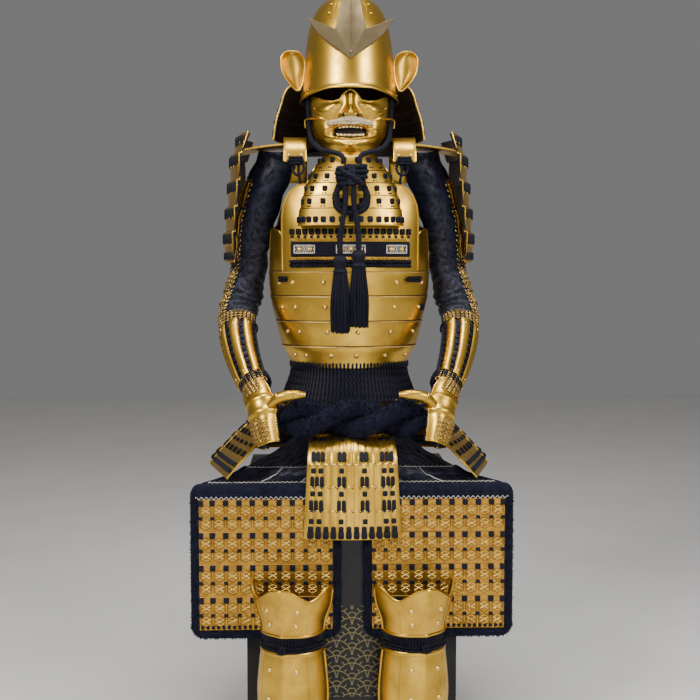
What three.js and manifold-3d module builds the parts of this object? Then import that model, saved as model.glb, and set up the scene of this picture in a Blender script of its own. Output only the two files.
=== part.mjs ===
// Gilt samurai armour shown on its armour chest: helmet, war mask, cuirass, sleeves, skirt,
// thigh guards and shin guards, with the plain stand that carries them.
// Millimetres, +Z up, the armour faces -Y, and the origin lies under the middle of the chest.
import * as THREE from "three";
import { mergeVertices } from "three/addons/utils/BufferGeometryUtils.js";
import Module from "manifold-3d";

const wasm = await Module();
wasm.setup();

// Shared sizes
const DEGREE = Math.PI / 180;
const SEAM = 0.3;
const PLATE = 2;
const CLOTH = 2.5;
const LEDGE_HALF = 0.7;
const NEAR = 0.01;

// Armour chest and stand
const CHEST_WIDTH = 460;
const CHEST_DEPTH = 420;
const CHEST_TOP = 597;
const CHEST_WALL = 13;
const CHEST_BODY_INSET = 7;
const CHEST_BODY_TOP = 586;
const CHEST_PLINTH = 70;
const LID_DROP = 95;
const LID_WALL = 6.5;
const FOOT_WIDTH = 110;
const FOOT_DEPTH = 84;
const FOOT_HEIGHT = 16;
const POST_SIDE = 34;
const POST_Y = 10;
const BAR_LENGTH = 292;
const BAR_TOP = 1338;
const BAR_HEIGHT = 34;
const BAR_DEPTH = 22;
const POLE_RADIUS = 11;
const REST_SIDES = 12;
const REST_CAP = table(["radius", "z"], [
  [POLE_RADIUS, 1580],
  [50, 1600],
  [71, 1612],
  [71, 1618],
  [0, 1632],
]);

// The cuirass: half width, depth to the front and back, and how square the section is
const TORSO = table(["z", "half", "front", "back", "square"], [
  [762, 150, 118, 114, 1.0],
  [835, 128, 96, 94, 0.95],
  [882, 148, 104, 104, 0.92],
  [937, 162, 109, 110, 0.9],
  [992, 174, 112, 114, 0.88],
  [1046, 177, 114, 117, 0.86],
  [1100, 176, 114, 118, 0.84],
  [1136, 174, 111, 117, 0.8],
  [1165, 172, 106, 114, 0.76],
  [1206, 165, 97, 108, 0.72],
  [1235, 150, 88, 102, 0.7],
  [1262, 138, 80, 96, 0.7],
]);
const CUIRASS_EDGES = [1046, 992, 937, 882, 835];
const CUIRASS_LEDGE = 1.5;
const CUIRASS_UPPER = [1250, 1206, 1136, 1100];
const CUIRASS_FRONT_HALF = [12, 24, 36, 46, 54, 62, 70, 88];
const CUIRASS_BACK_COLUMNS = [92, 110, 122, 136, 158, 180, 202, 224, 238, 250, 268];
const WAIST_Z = 835;
const SKIRT_Z = 762;
const ARMHOLE = table(["angle", "top"], [
  [0, 1062],
  [52, 1062],
  [60, 1100],
  [68, 1134],
  [88, 1138],
]);
const BACK_TOP = table(["angle", "top"], [
  [0, 1250],
  [44, 1250],
  [56, 1215],
  [66, 1150],
  [88, 1138],
]);
const CHEST_PLATE_OUT = 2.7;
const CHEST_PLATE_EDGE = table(["z", "half"], [
  [1047, 147],
  [1165, 148],
  [1190, 145],
  [1212, 136],
  [1228, 122],
  [1235, 110],
]);
const LACING_OUT = 5.3;
const LACING_THICK = 1.4;
const CHEST_PLATE_HEIGHTS = [1047, 1100, 1136, 1165, 1206, 1222, 1235];
const LACING_REACH = 49;
const LACING_ROWS = table(["at", "raise"], [
  [1140, 0],
  [1136, 0.2],
  [1100, 0.2],
  [1079, 0.2],
  [1073, 4],
  [1065, 4],
  [1059, 0.2],
]);
const RIVET = { radius: 3.6, height: 2.4, sides: 4 };
const RIVET_SEAT = 0.7;
const RIVET_CROWN = 0.6;
const RIVET_ANGLES = [-54, -18, 10, 36, 62];
const RIVET_HEIGHTS = [1022, 968, 914, 862];

// Helmet
const HELMET = table(["z", "half", "front", "back"], [
  [1420, 106, 124, 122],
  [1470, 101, 116, 120],
  [1507, 97, 111, 116],
  [1556, 92, 104, 110],
  [1595, 83, 92, 99],
  [1625, 68, 75, 81],
  [1645, 42, 46, 50],
  [1655, 0, 0, 0],
]);
const HELMET_COLUMNS = 20;
const HELMET_SHARES = [0, 0.04, 0.3, 0.56, 0.73, 0.865, 0.955, 1];
const HELMET_THICK = 2.5;
const BRIM_RAISE = 1.2;
const HELMET_RIM = { sides: 1431, front: 1443 };
const DOME_CENTRE = 1470;
const DOME_TOP = 1655;
const CREST_Y = -115.5;
const CREST_BACK = 2.4;
const CREST_RIDGE = 5;
const CREST = table(["x", "z", "ridge"], [
  [0, 1738, 1],
  [20, 1623, 0],
  [24, 1604, 0],
  [31, 1570, 0],
  [34, 1561, 0],
  [94, 1585, 0],
  [70, 1550, 0],
  [45, 1528, 0],
  [0, 1498, 1],
]);
const EAR = table(["z", "inner", "outer"], [
  [1446, 110, 118],
  [1462, 102.8, 134],
  [1482, 99.6, 147],
  [1504, 98.8, 151],
  [1520, 104, 149],
  [1530, 117, 138],
]);
const EAR_Y = -24;
const EAR_HOLLOW = 13;
const NECK_GUARD = table(["z", "half", "back"], [
  [1464, 105.4, 124.2],
  [1457, 133, 150],
  [1415, 151, 168],
  [1380, 162, 180],
  [1341, 168, 187],
]);
const NECK_EDGES = [1464, 1438, 1414, 1390, 1366, 1341];
const NECK_FROM = 91;
const NECK_TO = 269;
const NECK_BEND = 1457;
const LAME_LEDGE = 3;

// War mask and throat guard
const MASK = table(["z", "half", "side", "front"], [
  [1440, 85, -34, -92],
  [1410, 85, -36, -97],
  [1375, 82, -39, -100],
  [1345, 76, -43, -101],
  [1322, 63, -50, -100],
  [1304, 49, -58, -96],
]);
const MASK_TOP = table(["x", "z"], [
  [0, 1437],
  [12, 1432],
  [22, 1415],
  [38, 1411],
  [56, 1415],
  [72, 1424],
  [90, 1427],
]);
const MASK_BOTTOM = 1304;
const MASK_CHEEK_Z = 1400;
const MASK_HALF = [5, 12, 20, 29, 39, 52, 68, 90];
const MASK_SHARES = [0, 0.12, 0.27, 0.43, 0.54, 0.63, 0.75, 1];
const MOUTH = { y: -100, z: 1349, half: 34, height: 19, sides: 14, through: 60 };
const TOOTH = { count: 6, width: 8.6, pitch: 9.4, upper: 6.5, lower: 6, depth: 4, y: -101, gap: 2 };
const GUM = { over: 4, side: 7, lap: 1, back: 0.3 };
const MASK_RELIEF = table(["x", "z", "wide", "tall", "raise"], [
  [0, 1386, 10, 12, 15],
  [0, 1412, 7, 22, 9],
  [15, 1384, 7, 7, 8],
  [46, 1393, 17, 15, 8],
  [0, 1316, 20, 10, 8],
  [30, 1326, 16, 10, 3],
]);
const MOUSTACHE = table(["x", "z", "radius"], [
  [-58, 1371, 1.2],
  [-48, 1366, 4],
  [-26, 1368, 5.6],
  [0, 1371, 5],
  [26, 1368, 5.6],
  [48, 1366, 4],
  [58, 1371, 1.2],
]);
const MOUSTACHE_GAP = 0.95;
const THROAT = table(["z", "half", "side", "front"], [
  [1303.4, 48, -59, -95],
  [1292, 60, -54, -104],
  [1262, 81, -74, -115],
  [1228, 94, -96, -128],
  [1196, 103, -102, -138],
  [1145, 112, -110, -150],
]);
const THROAT_EDGES = [1303.4, 1262, 1235, 1208, 1180, 1145];
const THROAT_BENDS = [1292, 1228, 1196];
const THROAT_REACH = 88;

// Helmet cord, knot and tassels
const CHEEK_CORD_RADIUS = 5.5;
const CHEEK_CORD = table(["x", "y", "z"], [
  [92.6, -38, 1435.1],
  [91, -42, 1412],
  [89.8, -47.2, 1386],
  [88.5, -53.3, 1360],
  [86, -62, 1338],
  [76, -76, 1320],
  [61, -97, 1308],
  [42, -126, 1301],
  [26, -150, 1294],
  [18, -161, 1286],
  [17, -163, 1279],
  [17, -163, 1272.6],
]);
const KNOT_Y = -163;
const KNOT = table(["z", "half", "deep"], [
  [1272, 30, 13],
  [1262, 38, 15],
  [1259, 34, 13],
  [1250, 38, 15],
  [1247, 33, 13],
  [1238, 34, 14],
  [1235, 29, 12],
  [1226, 26, 12],
]);
const KNOT_SIDES = 12;
const LOOP = table(["x", "y", "z"], [
  [-24, -158, 1232],
  [-31, -158, 1212],
  [-27, -158, 1190],
  [-10, -158, 1180],
  [10, -158, 1180],
  [27, -158, 1190],
  [31, -158, 1212],
  [24, -158, 1232],
]);
const CORD_END_RADIUS = 4;
const CORD_ENDS = {
  left: { top: -13, x: -24, bottom: 1080 },
  right: { top: 5, x: 15, bottom: 1092 },
};
const CORD_END_Y = -169;
const TASSEL = { head: 34, neck: 9, belly: 14, spread: 17, length: 168, strands: 15, sides: 10 };
const GOLDEN_TURN = 2.39996;
const STRAND = { sunk: 3, root: 1.3, middle: 1.9, tip: 1.7, uneven: 2 };

// Straps and shoulder plates
const STRAP = table(["y", "z"], [
  [-70, 1284],
  [-61, 1316],
  [-32, 1337],
  [10, 1341],
  [46, 1332],
  [70, 1302],
  [80, 1250.5],
]);
const STRAP_INNER = 96;
const STRAP_OUTER = 144;
const STRAP_THICK = 3;
const STRAP_TIE = table(["x", "y", "z"], [
  [112, -72, 1292],
  [112, -80, 1262],
  [108, -79.5, 1235.5],
]);
const STRAP_TIE_RADIUS = 3.5;
const SHOULDER_GUARD = table(["z", "edge"], [
  [1349, 214],
  [1303, 234],
  [1245, 239],
  [1188, 245],
  [1133, 250],
  [1067, 252],
]);
const SHOULDER_EDGES = [1349, 1303, 1245, 1188, 1133, 1067];
const SHOULDER_LEDGE = 6;
const SHOULDER_FROM = -80;
const SHOULDER_TO = 120;
const SHOULDER_COLUMNS = spread(SHOULDER_FROM, SHOULDER_TO, 6);
const SHOULDER_BOW = 25;
const WING_Z = 1322;
const WING_FALL = 14;
const WING_GAP = 2;
const WING_IN = 2.3;
const WING_ARCH = 10;
const WING_THICK = 3;

// Arms: the sleeve's centreline and radius, for the viewer's right arm
const ARM = table(["x", "y", "z", "radius"], [
  [160, 20, 1297, 40],
  [190, 27, 1232, 41],
  [208, 33, 1175, 39],
  [219, 36, 1120, 37],
  [224, 36, 1065, 36],
  [236, 30, 1005, 37],
  [250, 16, 955, 38],
  [249, -14, 915, 37],
  [237, -56, 868, 34],
  [219, -104, 826, 30],
  [200, -143, 795, 26],
]);
const ARM_SIDES = 12;
const SLEEVE_CREASE = 3.2;
const CREASE_TURN = 3.9;
const SLEEVE_STEPS = [0, 0.9, 1.8, 2.7, 3.6, 4.5, 5.4, 6.3, 7.1, 7.9, 8.7, 9.5, 10];
const CREASED_UNTIL = 5;
const FOREARM_STEPS = [7.1, 7.9, 8.7, 9.5];
const SPLINT = { from: -165, wide: 45, count: 5, raise: 4, thick: 1.4, off: 0.8 };
const WRIST_FROM = 9.58;
const WRIST_TO = 9.9;
const WRIST_OFF = 0.6;
const HAND = table(["x", "y", "z", "radius"], [
  [200.3, -142.4, 795.5, 29.7],
  [193, -158, 781, 31.5],
  [186, -178, 757, 33],
  [178, -197, 722, 31],
  [169, -212, 684, 26],
]);
const HAND_SIDES = 8;
const HAND_STEPS = [0, 1, 1.5, 2.5, 3, 4];
const KNUCKLE = { from: 1.4, to: 2.6, raise: 2.4 };
const HAND_FROM = -155;
const HAND_TO = 45;
const THUMB = table(["x", "y", "z", "radius"], [
  [171, -208, 768, 9],
  [150, -220, 785, 11],
  [120, -222, 790, 9.5],
  [98, -219, 790, 5],
]);

// Skirt of tassets, sash and thigh guards
const SKIRT_RIBS = 34;
const SKIRT_RIB = 1.6;
const TASSET_FRONT = table(["z", "y", "half", "bow"], [
  [761, -119, 62, 14],
  [730, -125, 70, 14],
  [706, -140, 78, 12],
  [694, -165, 84, 8],
  [690, -192, 88, 6],
  [668, -222, 91, 6],
  [642, -233, 93, 6],
  [597, -237, 95, 8],
  [547, -239, 98, 8],
  [510, -241, 100, 8],
  [488, -242, 101, 8],
]);
const TASSET_FRONT_LAMES = [0, 3.6, 6, 7, 8, 10];
const TASSET_BENDS = [1, 2, 3, 4, 5, 9];
const TASSET_STEEP = 4.9;
const TASSET_LEDGE = 3.5;
const SIDE_TASSETS = {
  tasset_front: { from: 38, to: 80, near: [262, -214, 612], far: [312, -34, 612] },
  tasset_side: { from: 84, to: 128, near: [316, -16, 612], far: [300, 128, 612] },
  tasset_back: { from: 132, to: 176, near: [262, 196, 612], far: [16, 250, 612] },
};
const TASSET_LAMES = [0, 0.2, 0.4, 0.6, 0.8, 1];
const TASSET_BOW = 12;
const TASSET_DROP = 2.2;
const TWIST = { half: 160, y: -186, z: 736.3, orbit: 22, radius: 21, end: 0.42, turns: 1.35 };
const TWIST_STEPS = 16;
const TWIST_SIDES = 8;
const THIGH_OUTER = 337;
const THIGH_INNER = 25;
const THIGH_Y = -221;
const THIGH_TOP = 586;
const THIGH_BOTTOM = 278;
const THIGH_THICK = 3;
const BORDER_WIDE = 13;
const BORDER_RAISE = 6;
const BORDER_ROLL = 3;
const THIGH_MIDDLE = [120, 240];
const THIGH_LOW = 330;
const LAP = table(["y", "z", "half"], [
  [-120, 708, 100],
  [-104, 655, 165],
  [-104, 618, 240],
  [-124, 601, 320],
  [-150, 597.5, 337],
  [-210.4, 597.5, 337],
  [-218, 595, 337],
  [-221, 586.4, 337],
]);
const LAP_CREASE = 1.8;
const LAP_WAVES = 17;
const SCALES = { inner: 42, outer: 320, top: 571, bottom: 296, out: 3.4, columns: 10, rows: 8 };
const SCALE_THICK = 1.2;
const SCALE_RAISE = 3;

// Shin guards, in their own frame, turned outwards on the floor
const SHIN_X = 124;
const SHIN_Y = -262;
const SHIN_TURN = 18;
const SHIN = table(["z", "half", "deep"], [
  [0, 56, 58],
  [60, 60, 62],
  [170, 73, 70],
  [250, 68, 66],
  [276.7, 64, 63],
  [277, 60, 59],
  [309, 60, 59],
  [309.3, 64, 63],
  [335, 68, 67],
  [372, 80, 74],
  [433, 86, 76],
]);
const KNEE_BOTTOM = 309.3;
const KNEE_TOP = table(["angle", "z"], [
  [0, 408],
  [14, 404],
  [28, 392],
  [40, 384],
  [52, 389],
  [66, 404],
  [80, 408],
  [90, 400],
]);
const SHIN_RIDGE = 4;
const RIDGE_WIDE = 9;
const SHIN_COLUMNS = [-90, -66, -44, -24, -9, 0, 9, 24, 44, 66, 90];
const KNEE_ROWS = table(["at", "raise"], [
  [0, 1.5],
  [0.06, 0],
  [0.5, 0],
  [0.93, 0],
  [1, 2],
]);
const TIE_ROWS = table(["at", "raise"], [
  [277, 0],
  [285, 2.5],
  [293, 0],
  [301, 2.5],
  [309, 0],
]);
const SHIN_ROWS = table(["at", "raise"], [
  [0, 0],
  [60, 0],
  [170, 0],
  [266, 0],
  [272, 2],
  [276.7, 2],
]);
const SHIN_RIVETS = table(["angle", "z"], [
  [-24, 240],
  [24, 240],
  [-24, 120],
  [24, 120],
]);
const KNEE_RIVETS = table(["angle", "z"], [
  [-24, 364],
  [24, 364],
  [-24, 334],
  [24, 334],
]);

// Reads rows of numbers as a table with named columns.
function table(columns, rows) {
  return rows.map((row) => Object.fromEntries(columns.map((name, i) => [name, row[i]])));
}

function mix(a, b, share) {
  return a + (b - a) * share;
}

// The row of a table at a value of its first column, worked out between the rows given.
function rowAt(rows, key, value) {
  const rising = rows[rows.length - 1][key] > rows[0][key];
  const ordered = rising ? rows : [...rows].reverse();
  let i = 0;
  while (i < ordered.length - 2 && value > ordered[i + 1][key]) {
    i += 1;
  }
  const low = ordered[i];
  const high = ordered[i + 1];
  const share = THREE.MathUtils.clamp((value - low[key]) / (high[key] - low[key]), 0, 1);
  const names = Object.keys(low);
  return Object.fromEntries(names.map((name) => [name, mix(low[name], high[name], share)]));
}

// The row of a table at a step along it, whole steps falling on its own rows.
function stepAt(rows, step) {
  const i = THREE.MathUtils.clamp(Math.floor(step), 0, rows.length - 2);
  const names = Object.keys(rows[0]);
  const share = THREE.MathUtils.clamp(step - i, 0, 1);
  return Object.fromEntries(names.map((name) => [name, mix(rows[i][name], rows[i + 1][name], share)]));
}

function spread(from, to, count) {
  return Array.from({ length: count + 1 }, (_, i) => mix(from, to, i / count));
}

// A closed body from points and triangles: doubled points are joined and the faces turned outwards.
function body(points, faces) {
  const keys = new Map();
  const kept = [];
  const index = points.map((p) => {
    const key = [p.x, p.y, p.z].map((n) => Math.round(n * 1000)).join(" ");
    if (!keys.has(key)) {
      keys.set(key, kept.length);
      kept.push(p);
    }
    return keys.get(key);
  });
  const whole = faces
    .map((face) => face.map((i) => index[i]))
    .filter(([a, b, c]) => a !== b && b !== c && a !== c);
  const volume = whole.reduce((sum, [a, b, c]) => {
    return sum + kept[a].dot(kept[b].clone().cross(kept[c]));
  }, 0);
  const outward = volume < 0 ? whole.map(([a, b, c]) => [a, c, b]) : whole;
  const geometry = new THREE.BufferGeometry();
  const flat = new Float32Array(kept.flatMap((p) => [p.x, p.y, p.z]));
  geometry.setAttribute("position", new THREE.BufferAttribute(flat, 3));
  geometry.setIndex(outward.flat());
  return geometry;
}

// A wall between an outer and an inner grid of points, closed round its edges.
function wall(across, up, outer, inner, ring) {
  const columns = ring ? across : across + 1;
  const points = [];
  const faces = [];
  const at = (side, i, j) => (side * (up + 1) + j) * columns + (i % columns);
  const quad = (a, b, c, d) => faces.push([a, b, c], [a, c, d]);
  for (const side of [outer, inner]) {
    for (let j = 0; j <= up; j += 1) {
      for (let i = 0; i < columns; i += 1) {
        points.push(side(i, j));
      }
    }
  }
  for (let i = 0; i < across; i += 1) {
    for (let j = 0; j < up; j += 1) {
      quad(at(0, i, j), at(0, i + 1, j), at(0, i + 1, j + 1), at(0, i, j + 1));
      quad(at(1, i + 1, j), at(1, i, j), at(1, i, j + 1), at(1, i + 1, j + 1));
    }
    quad(at(0, i + 1, 0), at(0, i, 0), at(1, i, 0), at(1, i + 1, 0));
    quad(at(0, i, up), at(0, i + 1, up), at(1, i + 1, up), at(1, i, up));
  }
  for (let j = 0; j < up && !ring; j += 1) {
    quad(at(0, 0, j), at(0, 0, j + 1), at(1, 0, j + 1), at(1, 0, j));
    quad(at(0, across, j + 1), at(0, across, j), at(1, across, j), at(1, across, j + 1));
  }
  return body(points, faces);
}

// A panel follows a surface: columns across, rows along, each row with its own raise.
function panel({ columns, rows, place, thick, relief = () => 0, ring = false }) {
  const across = ring ? columns.length : columns.length - 1;
  const outer = (i, j) => {
    const { at, raise } = rows[j];
    return place(columns[i], at, thick + raise + relief(columns[i], at));
  };
  const inner = (i, j) => place(columns[i], rows[j].at, 0);
  return wall(across, rows.length - 1, outer, inner, ring);
}

function plainRows(values) {
  return values.map((at) => ({ at, raise: 0 }));
}

// Rows of a laced or riveted panel: each lame's top edge stands out over the one above it.
function lameRows(edges, ledge, half = LEDGE_HALF) {
  const rows = [];
  const way = Math.sign(edges[1] - edges[0]);
  edges.slice(0, -1).forEach((edge, k) => {
    rows.push({ at: k ? edge + way * half : edge, raise: ledge });
    const last = k === edges.length - 2;
    rows.push({ at: last ? edges[k + 1] : edges[k + 1] - way * half, raise: 0 });
  });
  return rows;
}

// Adds the heights of a table to a panel's rows, so that its surface bends where the table does.
function bentRows(rows, heights, least = 2) {
  const all = [...rows];
  const rising = rows[rows.length - 1].at > rows[0].at;
  for (const height of heights) {
    const from = rows.findIndex((row, k) => {
      const next = rows[k + 1];
      return next && (height - row.at) * (height - next.at) < 0;
    });
    if (from < 0 || rows.some((row) => Math.abs(row.at - height) < least)) {
      continue;
    }
    const share = (height - rows[from].at) / (rows[from + 1].at - rows[from].at);
    all.push({ at: height, raise: mix(rows[from].raise, rows[from + 1].raise, share) });
  }
  return all.sort((a, b) => (rising ? a.at - b.at : b.at - a.at));
}

// Moves a point of a surface out along the surface's normal.
function offsetFrom(base, facing) {
  return (u, v, out) => {
    const here = base(u, v);
    if (!out) {
      return here;
    }
    const across = base(u + NEAR, v).sub(base(u - NEAR, v));
    const along = base(u, v + NEAR).sub(base(u, v - NEAR));
    const normal = across.cross(along).normalize();
    if (normal.dot(facing) < 0) {
      normal.negate();
    }
    return here.addScaledVector(normal, out);
  };
}

// A solid through rings of points, closed with a fan at each end.
function loft(rings) {
  const sides = rings[0].length;
  const points = rings.flat();
  const faces = [];
  for (let k = 0; k < rings.length - 1; k += 1) {
    for (let i = 0; i < sides; i += 1) {
      const next = (i + 1) % sides;
      const [a, b] = [k * sides + i, k * sides + next];
      const [c, d] = [(k + 1) * sides + next, (k + 1) * sides + i];
      faces.push([a, b, c], [a, c, d]);
    }
  }
  for (let i = 1; i < sides - 1; i += 1) {
    const last = (rings.length - 1) * sides;
    faces.push([0, i + 1, i], [last, last + i, last + i + 1]);
  }
  return body(points, faces);
}

// Axes of a section that runs square to a path; the first looks to the front.
function sectionAxes(tangent) {
  const front = new THREE.Vector3(0, -1, 0);
  front.addScaledVector(tangent, -front.dot(tangent)).normalize();
  const side = tangent.clone().cross(front);
  return [front, side];
}

// A place on a limb: an angle round its centreline, a step along its table, and a distance out.
function limbPlace(rows) {
  const curve = new THREE.CatmullRomCurve3(rows.map((row) => new THREE.Vector3(row.x, row.y, row.z)));
  return (angle, step, out) => {
    const share = THREE.MathUtils.clamp(step / (rows.length - 1), 0, 1);
    const centre = curve.getPoint(share);
    const [front, side] = sectionAxes(curve.getTangent(share));
    const reach = stepAt(rows, step).radius + out;
    return centre
      .addScaledVector(front, reach * Math.cos(angle * DEGREE))
      .addScaledVector(side, reach * Math.sin(angle * DEGREE));
  };
}

// A solid limb with round sections, such as a thumb or a moustache.
function limb(rows, sides, steps) {
  const place = limbPlace(rows);
  return loft(
    spread(0, rows.length - 1, steps).map((step) => {
      return Array.from({ length: sides }, (_, i) => place((i * 360) / sides, step, 0));
    }),
  );
}

// A cord of one thickness along hand-set points.
function cord(points, radius, sides, steps) {
  const circle = Array.from({ length: sides }, (_, i) => {
    const turn = (i * 2 * Math.PI) / sides;
    return new THREE.Vector2(radius * Math.cos(turn), radius * Math.sin(turn));
  });
  const path = new THREE.CatmullRomCurve3(points.map((p) => new THREE.Vector3(p.x, p.y, p.z)));
  const options = { steps, extrudePath: path, bevelEnabled: false };
  return closed(new THREE.ExtrudeGeometry(new THREE.Shape(circle), options));
}

// Keeps only joined positions, and turns the faces outwards.
function closed(geometry) {
  const bare = (geometry.index ? geometry.toNonIndexed() : geometry).clone();
  bare.deleteAttribute("normal");
  bare.deleteAttribute("uv");
  const merged = mergeVertices(bare, 1e-3);
  const position = merged.attributes.position;
  const points = Array.from({ length: position.count }, (_, i) => {
    return new THREE.Vector3().fromBufferAttribute(position, i);
  });
  const flat = Array.from(merged.index.array);
  const faces = Array.from({ length: flat.length / 3 }, (_, i) => flat.slice(i * 3, i * 3 + 3));
  return body(points, faces);
}

function solidOf(geometry) {
  return new wasm.Manifold(
    new wasm.Mesh({
      numProp: 3,
      vertProperties: geometry.attributes.position.array,
      triVerts: new Uint32Array(geometry.index.array),
    }),
  );
}

function geometryOf(solid) {
  const made = solid.getMesh();
  const geometry = new THREE.BufferGeometry();
  const positions = new Float32Array(made.vertProperties);
  geometry.setAttribute("position", new THREE.BufferAttribute(positions, 3));
  geometry.setIndex(Array.from(made.triVerts));
  return geometry;
}

function joined(first, ...others) {
  return geometryOf(others.reduce((sum, each) => sum.add(solidOf(each)), solidOf(first)));
}

function cutBy(first, ...others) {
  return geometryOf(others.reduce((sum, each) => sum.subtract(solidOf(each)), solidOf(first)));
}

// A block by its size and the middle of its underside.
function block(width, depth, height, x, y, z) {
  return closed(new THREE.BoxGeometry(width, depth, height).translate(x, y, z + height / 2));
}

// A low rivet head that stands on a place, sunk a little so that it joins the wall.
function rivet(place, u, v, out) {
  const foot = place(u, v, out);
  const normal = place(u, v, out + 1).sub(foot).normalize();
  const [front, side] = sectionAxes(normal.clone().addScaledVector(new THREE.Vector3(0, 0, 1), 1e-3));
  const ring = (radius, height) => {
    return Array.from({ length: RIVET.sides }, (_, i) => {
      const turn = (i * 2 * Math.PI) / RIVET.sides;
      return foot
        .clone()
        .addScaledVector(normal, height)
        .addScaledVector(front, radius * Math.cos(turn))
        .addScaledVector(side, radius * Math.sin(turn));
    });
  };
  const { radius, height } = RIVET;
  return loft([ring(radius, -1), ring(radius * RIVET_CROWN, height)]);
}

// Places on the torso, by angle from the front, height and distance out.
function torsoPlace(angle, z, out) {
  const section = rowAt(TORSO, "z", z);
  const sine = Math.sin(angle * DEGREE);
  const cosine = Math.cos(angle * DEGREE);
  const deep = cosine > 0 ? section.front : section.back;
  const x = Math.sign(sine) * Math.abs(sine) ** section.square * (section.half + out);
  const y = -Math.sign(cosine) * Math.abs(cosine) ** section.square * (deep + out);
  return new THREE.Vector3(x, y, z);
}

function chestBody() {
  const width = CHEST_WIDTH - 2 * CHEST_BODY_INSET;
  const depth = CHEST_DEPTH - 2 * CHEST_BODY_INSET;
  const outside = block(width, depth, CHEST_BODY_TOP, 0, 0, 0);
  const plinth = block(CHEST_WIDTH, CHEST_DEPTH, CHEST_PLINTH, 0, 0, 0);
  const hollow = block(width - 2 * CHEST_WALL, depth - 2 * CHEST_WALL, CHEST_TOP, 0, 0, CHEST_WALL);
  return cutBy(joined(outside, plinth), hollow);
}

function chestLid() {
  const bottom = CHEST_TOP - LID_DROP;
  const cap = block(CHEST_WIDTH, CHEST_DEPTH, LID_DROP, 0, 0, bottom);
  const width = CHEST_WIDTH - 2 * LID_WALL;
  const depth = CHEST_DEPTH - 2 * LID_WALL;
  const hollow = block(width, depth, CHEST_BODY_TOP + SEAM - bottom + 1, 0, 0, bottom - 1);
  return cutBy(cap, hollow);
}

function standFrame() {
  const foot = block(FOOT_WIDTH, FOOT_DEPTH, FOOT_HEIGHT, 0, POST_Y, CHEST_TOP + SEAM);
  const post = block(POST_SIDE, POST_SIDE, BAR_TOP - CHEST_TOP - SEAM - 1, 0, POST_Y, CHEST_TOP + SEAM);
  const bar = block(BAR_LENGTH, BAR_DEPTH, BAR_HEIGHT, 0, POST_Y, BAR_TOP - BAR_HEIGHT);
  return joined(foot, post, bar);
}

// A pole with a mushroom cap that carries the helmet from inside.
function helmetRest() {
  const foot = BAR_TOP + SEAM;
  const pole = [{ radius: 0, z: foot }, { radius: POLE_RADIUS, z: foot }];
  const profile = [...pole, ...REST_CAP].map((row) => new THREE.Vector2(row.radius, row.z));
  const turned = new THREE.LatheGeometry(profile, REST_SIDES).rotateX(Math.PI / 2);
  return closed(turned);
}

function helmetRimAt(angle) {
  const front = Math.max(0, Math.cos(angle * DEGREE));
  return mix(HELMET_RIM.sides, HELMET_RIM.front, front ** 2);
}

function helmetPlace(angle, share, out) {
  const z = mix(helmetRimAt(angle), DOME_TOP, share);
  const section = rowAt(HELMET, "z", z);
  const cosine = Math.cos(angle * DEGREE);
  const deep = cosine > 0 ? section.front : section.back;
  const point = new THREE.Vector3(section.half * Math.sin(angle * DEGREE), -deep * cosine, z);
  const away = point.clone().setZ(Math.max(0, z - DOME_CENTRE)).normalize();
  return point.addScaledVector(away, out);
}

function helmetBowl() {
  const rows = HELMET_SHARES.map((at, k) => ({ at, raise: k < 2 ? BRIM_RAISE : 0 }));
  const columns = spread(0, 360, HELMET_COLUMNS).slice(0, -1);
  return panel({ columns, rows, place: helmetPlace, thick: HELMET_THICK, ring: true });
}

// The crest: three flat blades with a low ridge down the middle one.
function helmetCrest() {
  const right = CREST;
  const left = CREST.slice(1, -1).reverse().map((row) => ({ ...row, x: -row.x }));
  const outline = [...right, ...left];
  const flat = outline.map((row) => new THREE.Vector2(row.x, row.z));
  const half = right.map((row) => new THREE.Vector2(row.x, row.z));
  const count = outline.length;
  const mirrored = (i) => (i === 0 || i === right.length - 1 ? i : count - i);
  const halves = THREE.ShapeUtils.triangulateShape(half, []);
  const others = halves.map(([a, b, c]) => [mirrored(a), mirrored(c), mirrored(b)]);
  const triangles = [...halves, ...others];
  const front = flat.map((p, i) => {
    const lift = CREST_BACK + outline[i].ridge * CREST_RIDGE;
    return new THREE.Vector3(p.x, CREST_Y - lift, p.y);
  });
  const back = flat.map((p) => new THREE.Vector3(p.x, CREST_Y, p.y));
  const faces = [];
  triangles.forEach(([a, b, c]) => faces.push([a, b, c], [a + count, c + count, b + count]));
  const forward = triangles.some((face) => face[(face.indexOf(0) + 1) % 3] === 1 && face.includes(0));
  for (let i = 0; i < count; i += 1) {
    const next = (i + 1) % count;
    const side = [[i, i + count, next], [next, i + count, next + count]];
    faces.push(...(forward ? side : side.map(([a, b, c]) => [a, c, b])));
  }
  return body([...front, ...back], faces);
}

// A rounded leaf, hollow towards the front.
function helmetEar() {
  const base = (u, z) => {
    const row = rowAt(EAR, "z", z);
    const across = u * 2 - 1;
    const y = EAR_Y + EAR_HOLLOW * (1 - across ** 2);
    return new THREE.Vector3(mix(row.inner, row.outer, u), y, z);
  };
  const place = (u, z, out) => base(u, z).add(new THREE.Vector3(0, -out, 0));
  const rows = plainRows(EAR.map((row) => row.z));
  return panel({ columns: spread(0, 1, 4), rows, place, thick: PLATE });
}

function neckPlace(angle, z, out) {
  const row = rowAt(NECK_GUARD, "z", z);
  const x = (row.half + out) * Math.sin(angle * DEGREE);
  return new THREE.Vector3(x, -(row.back + out) * Math.cos(angle * DEGREE), z);
}

function neckGuard() {
  const rows = bentRows(lameRows(NECK_EDGES, LAME_LEDGE), [NECK_BEND]);
  return panel({ columns: spread(NECK_FROM, NECK_TO, 12), rows, place: neckPlace, thick: PLATE });
}

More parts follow.
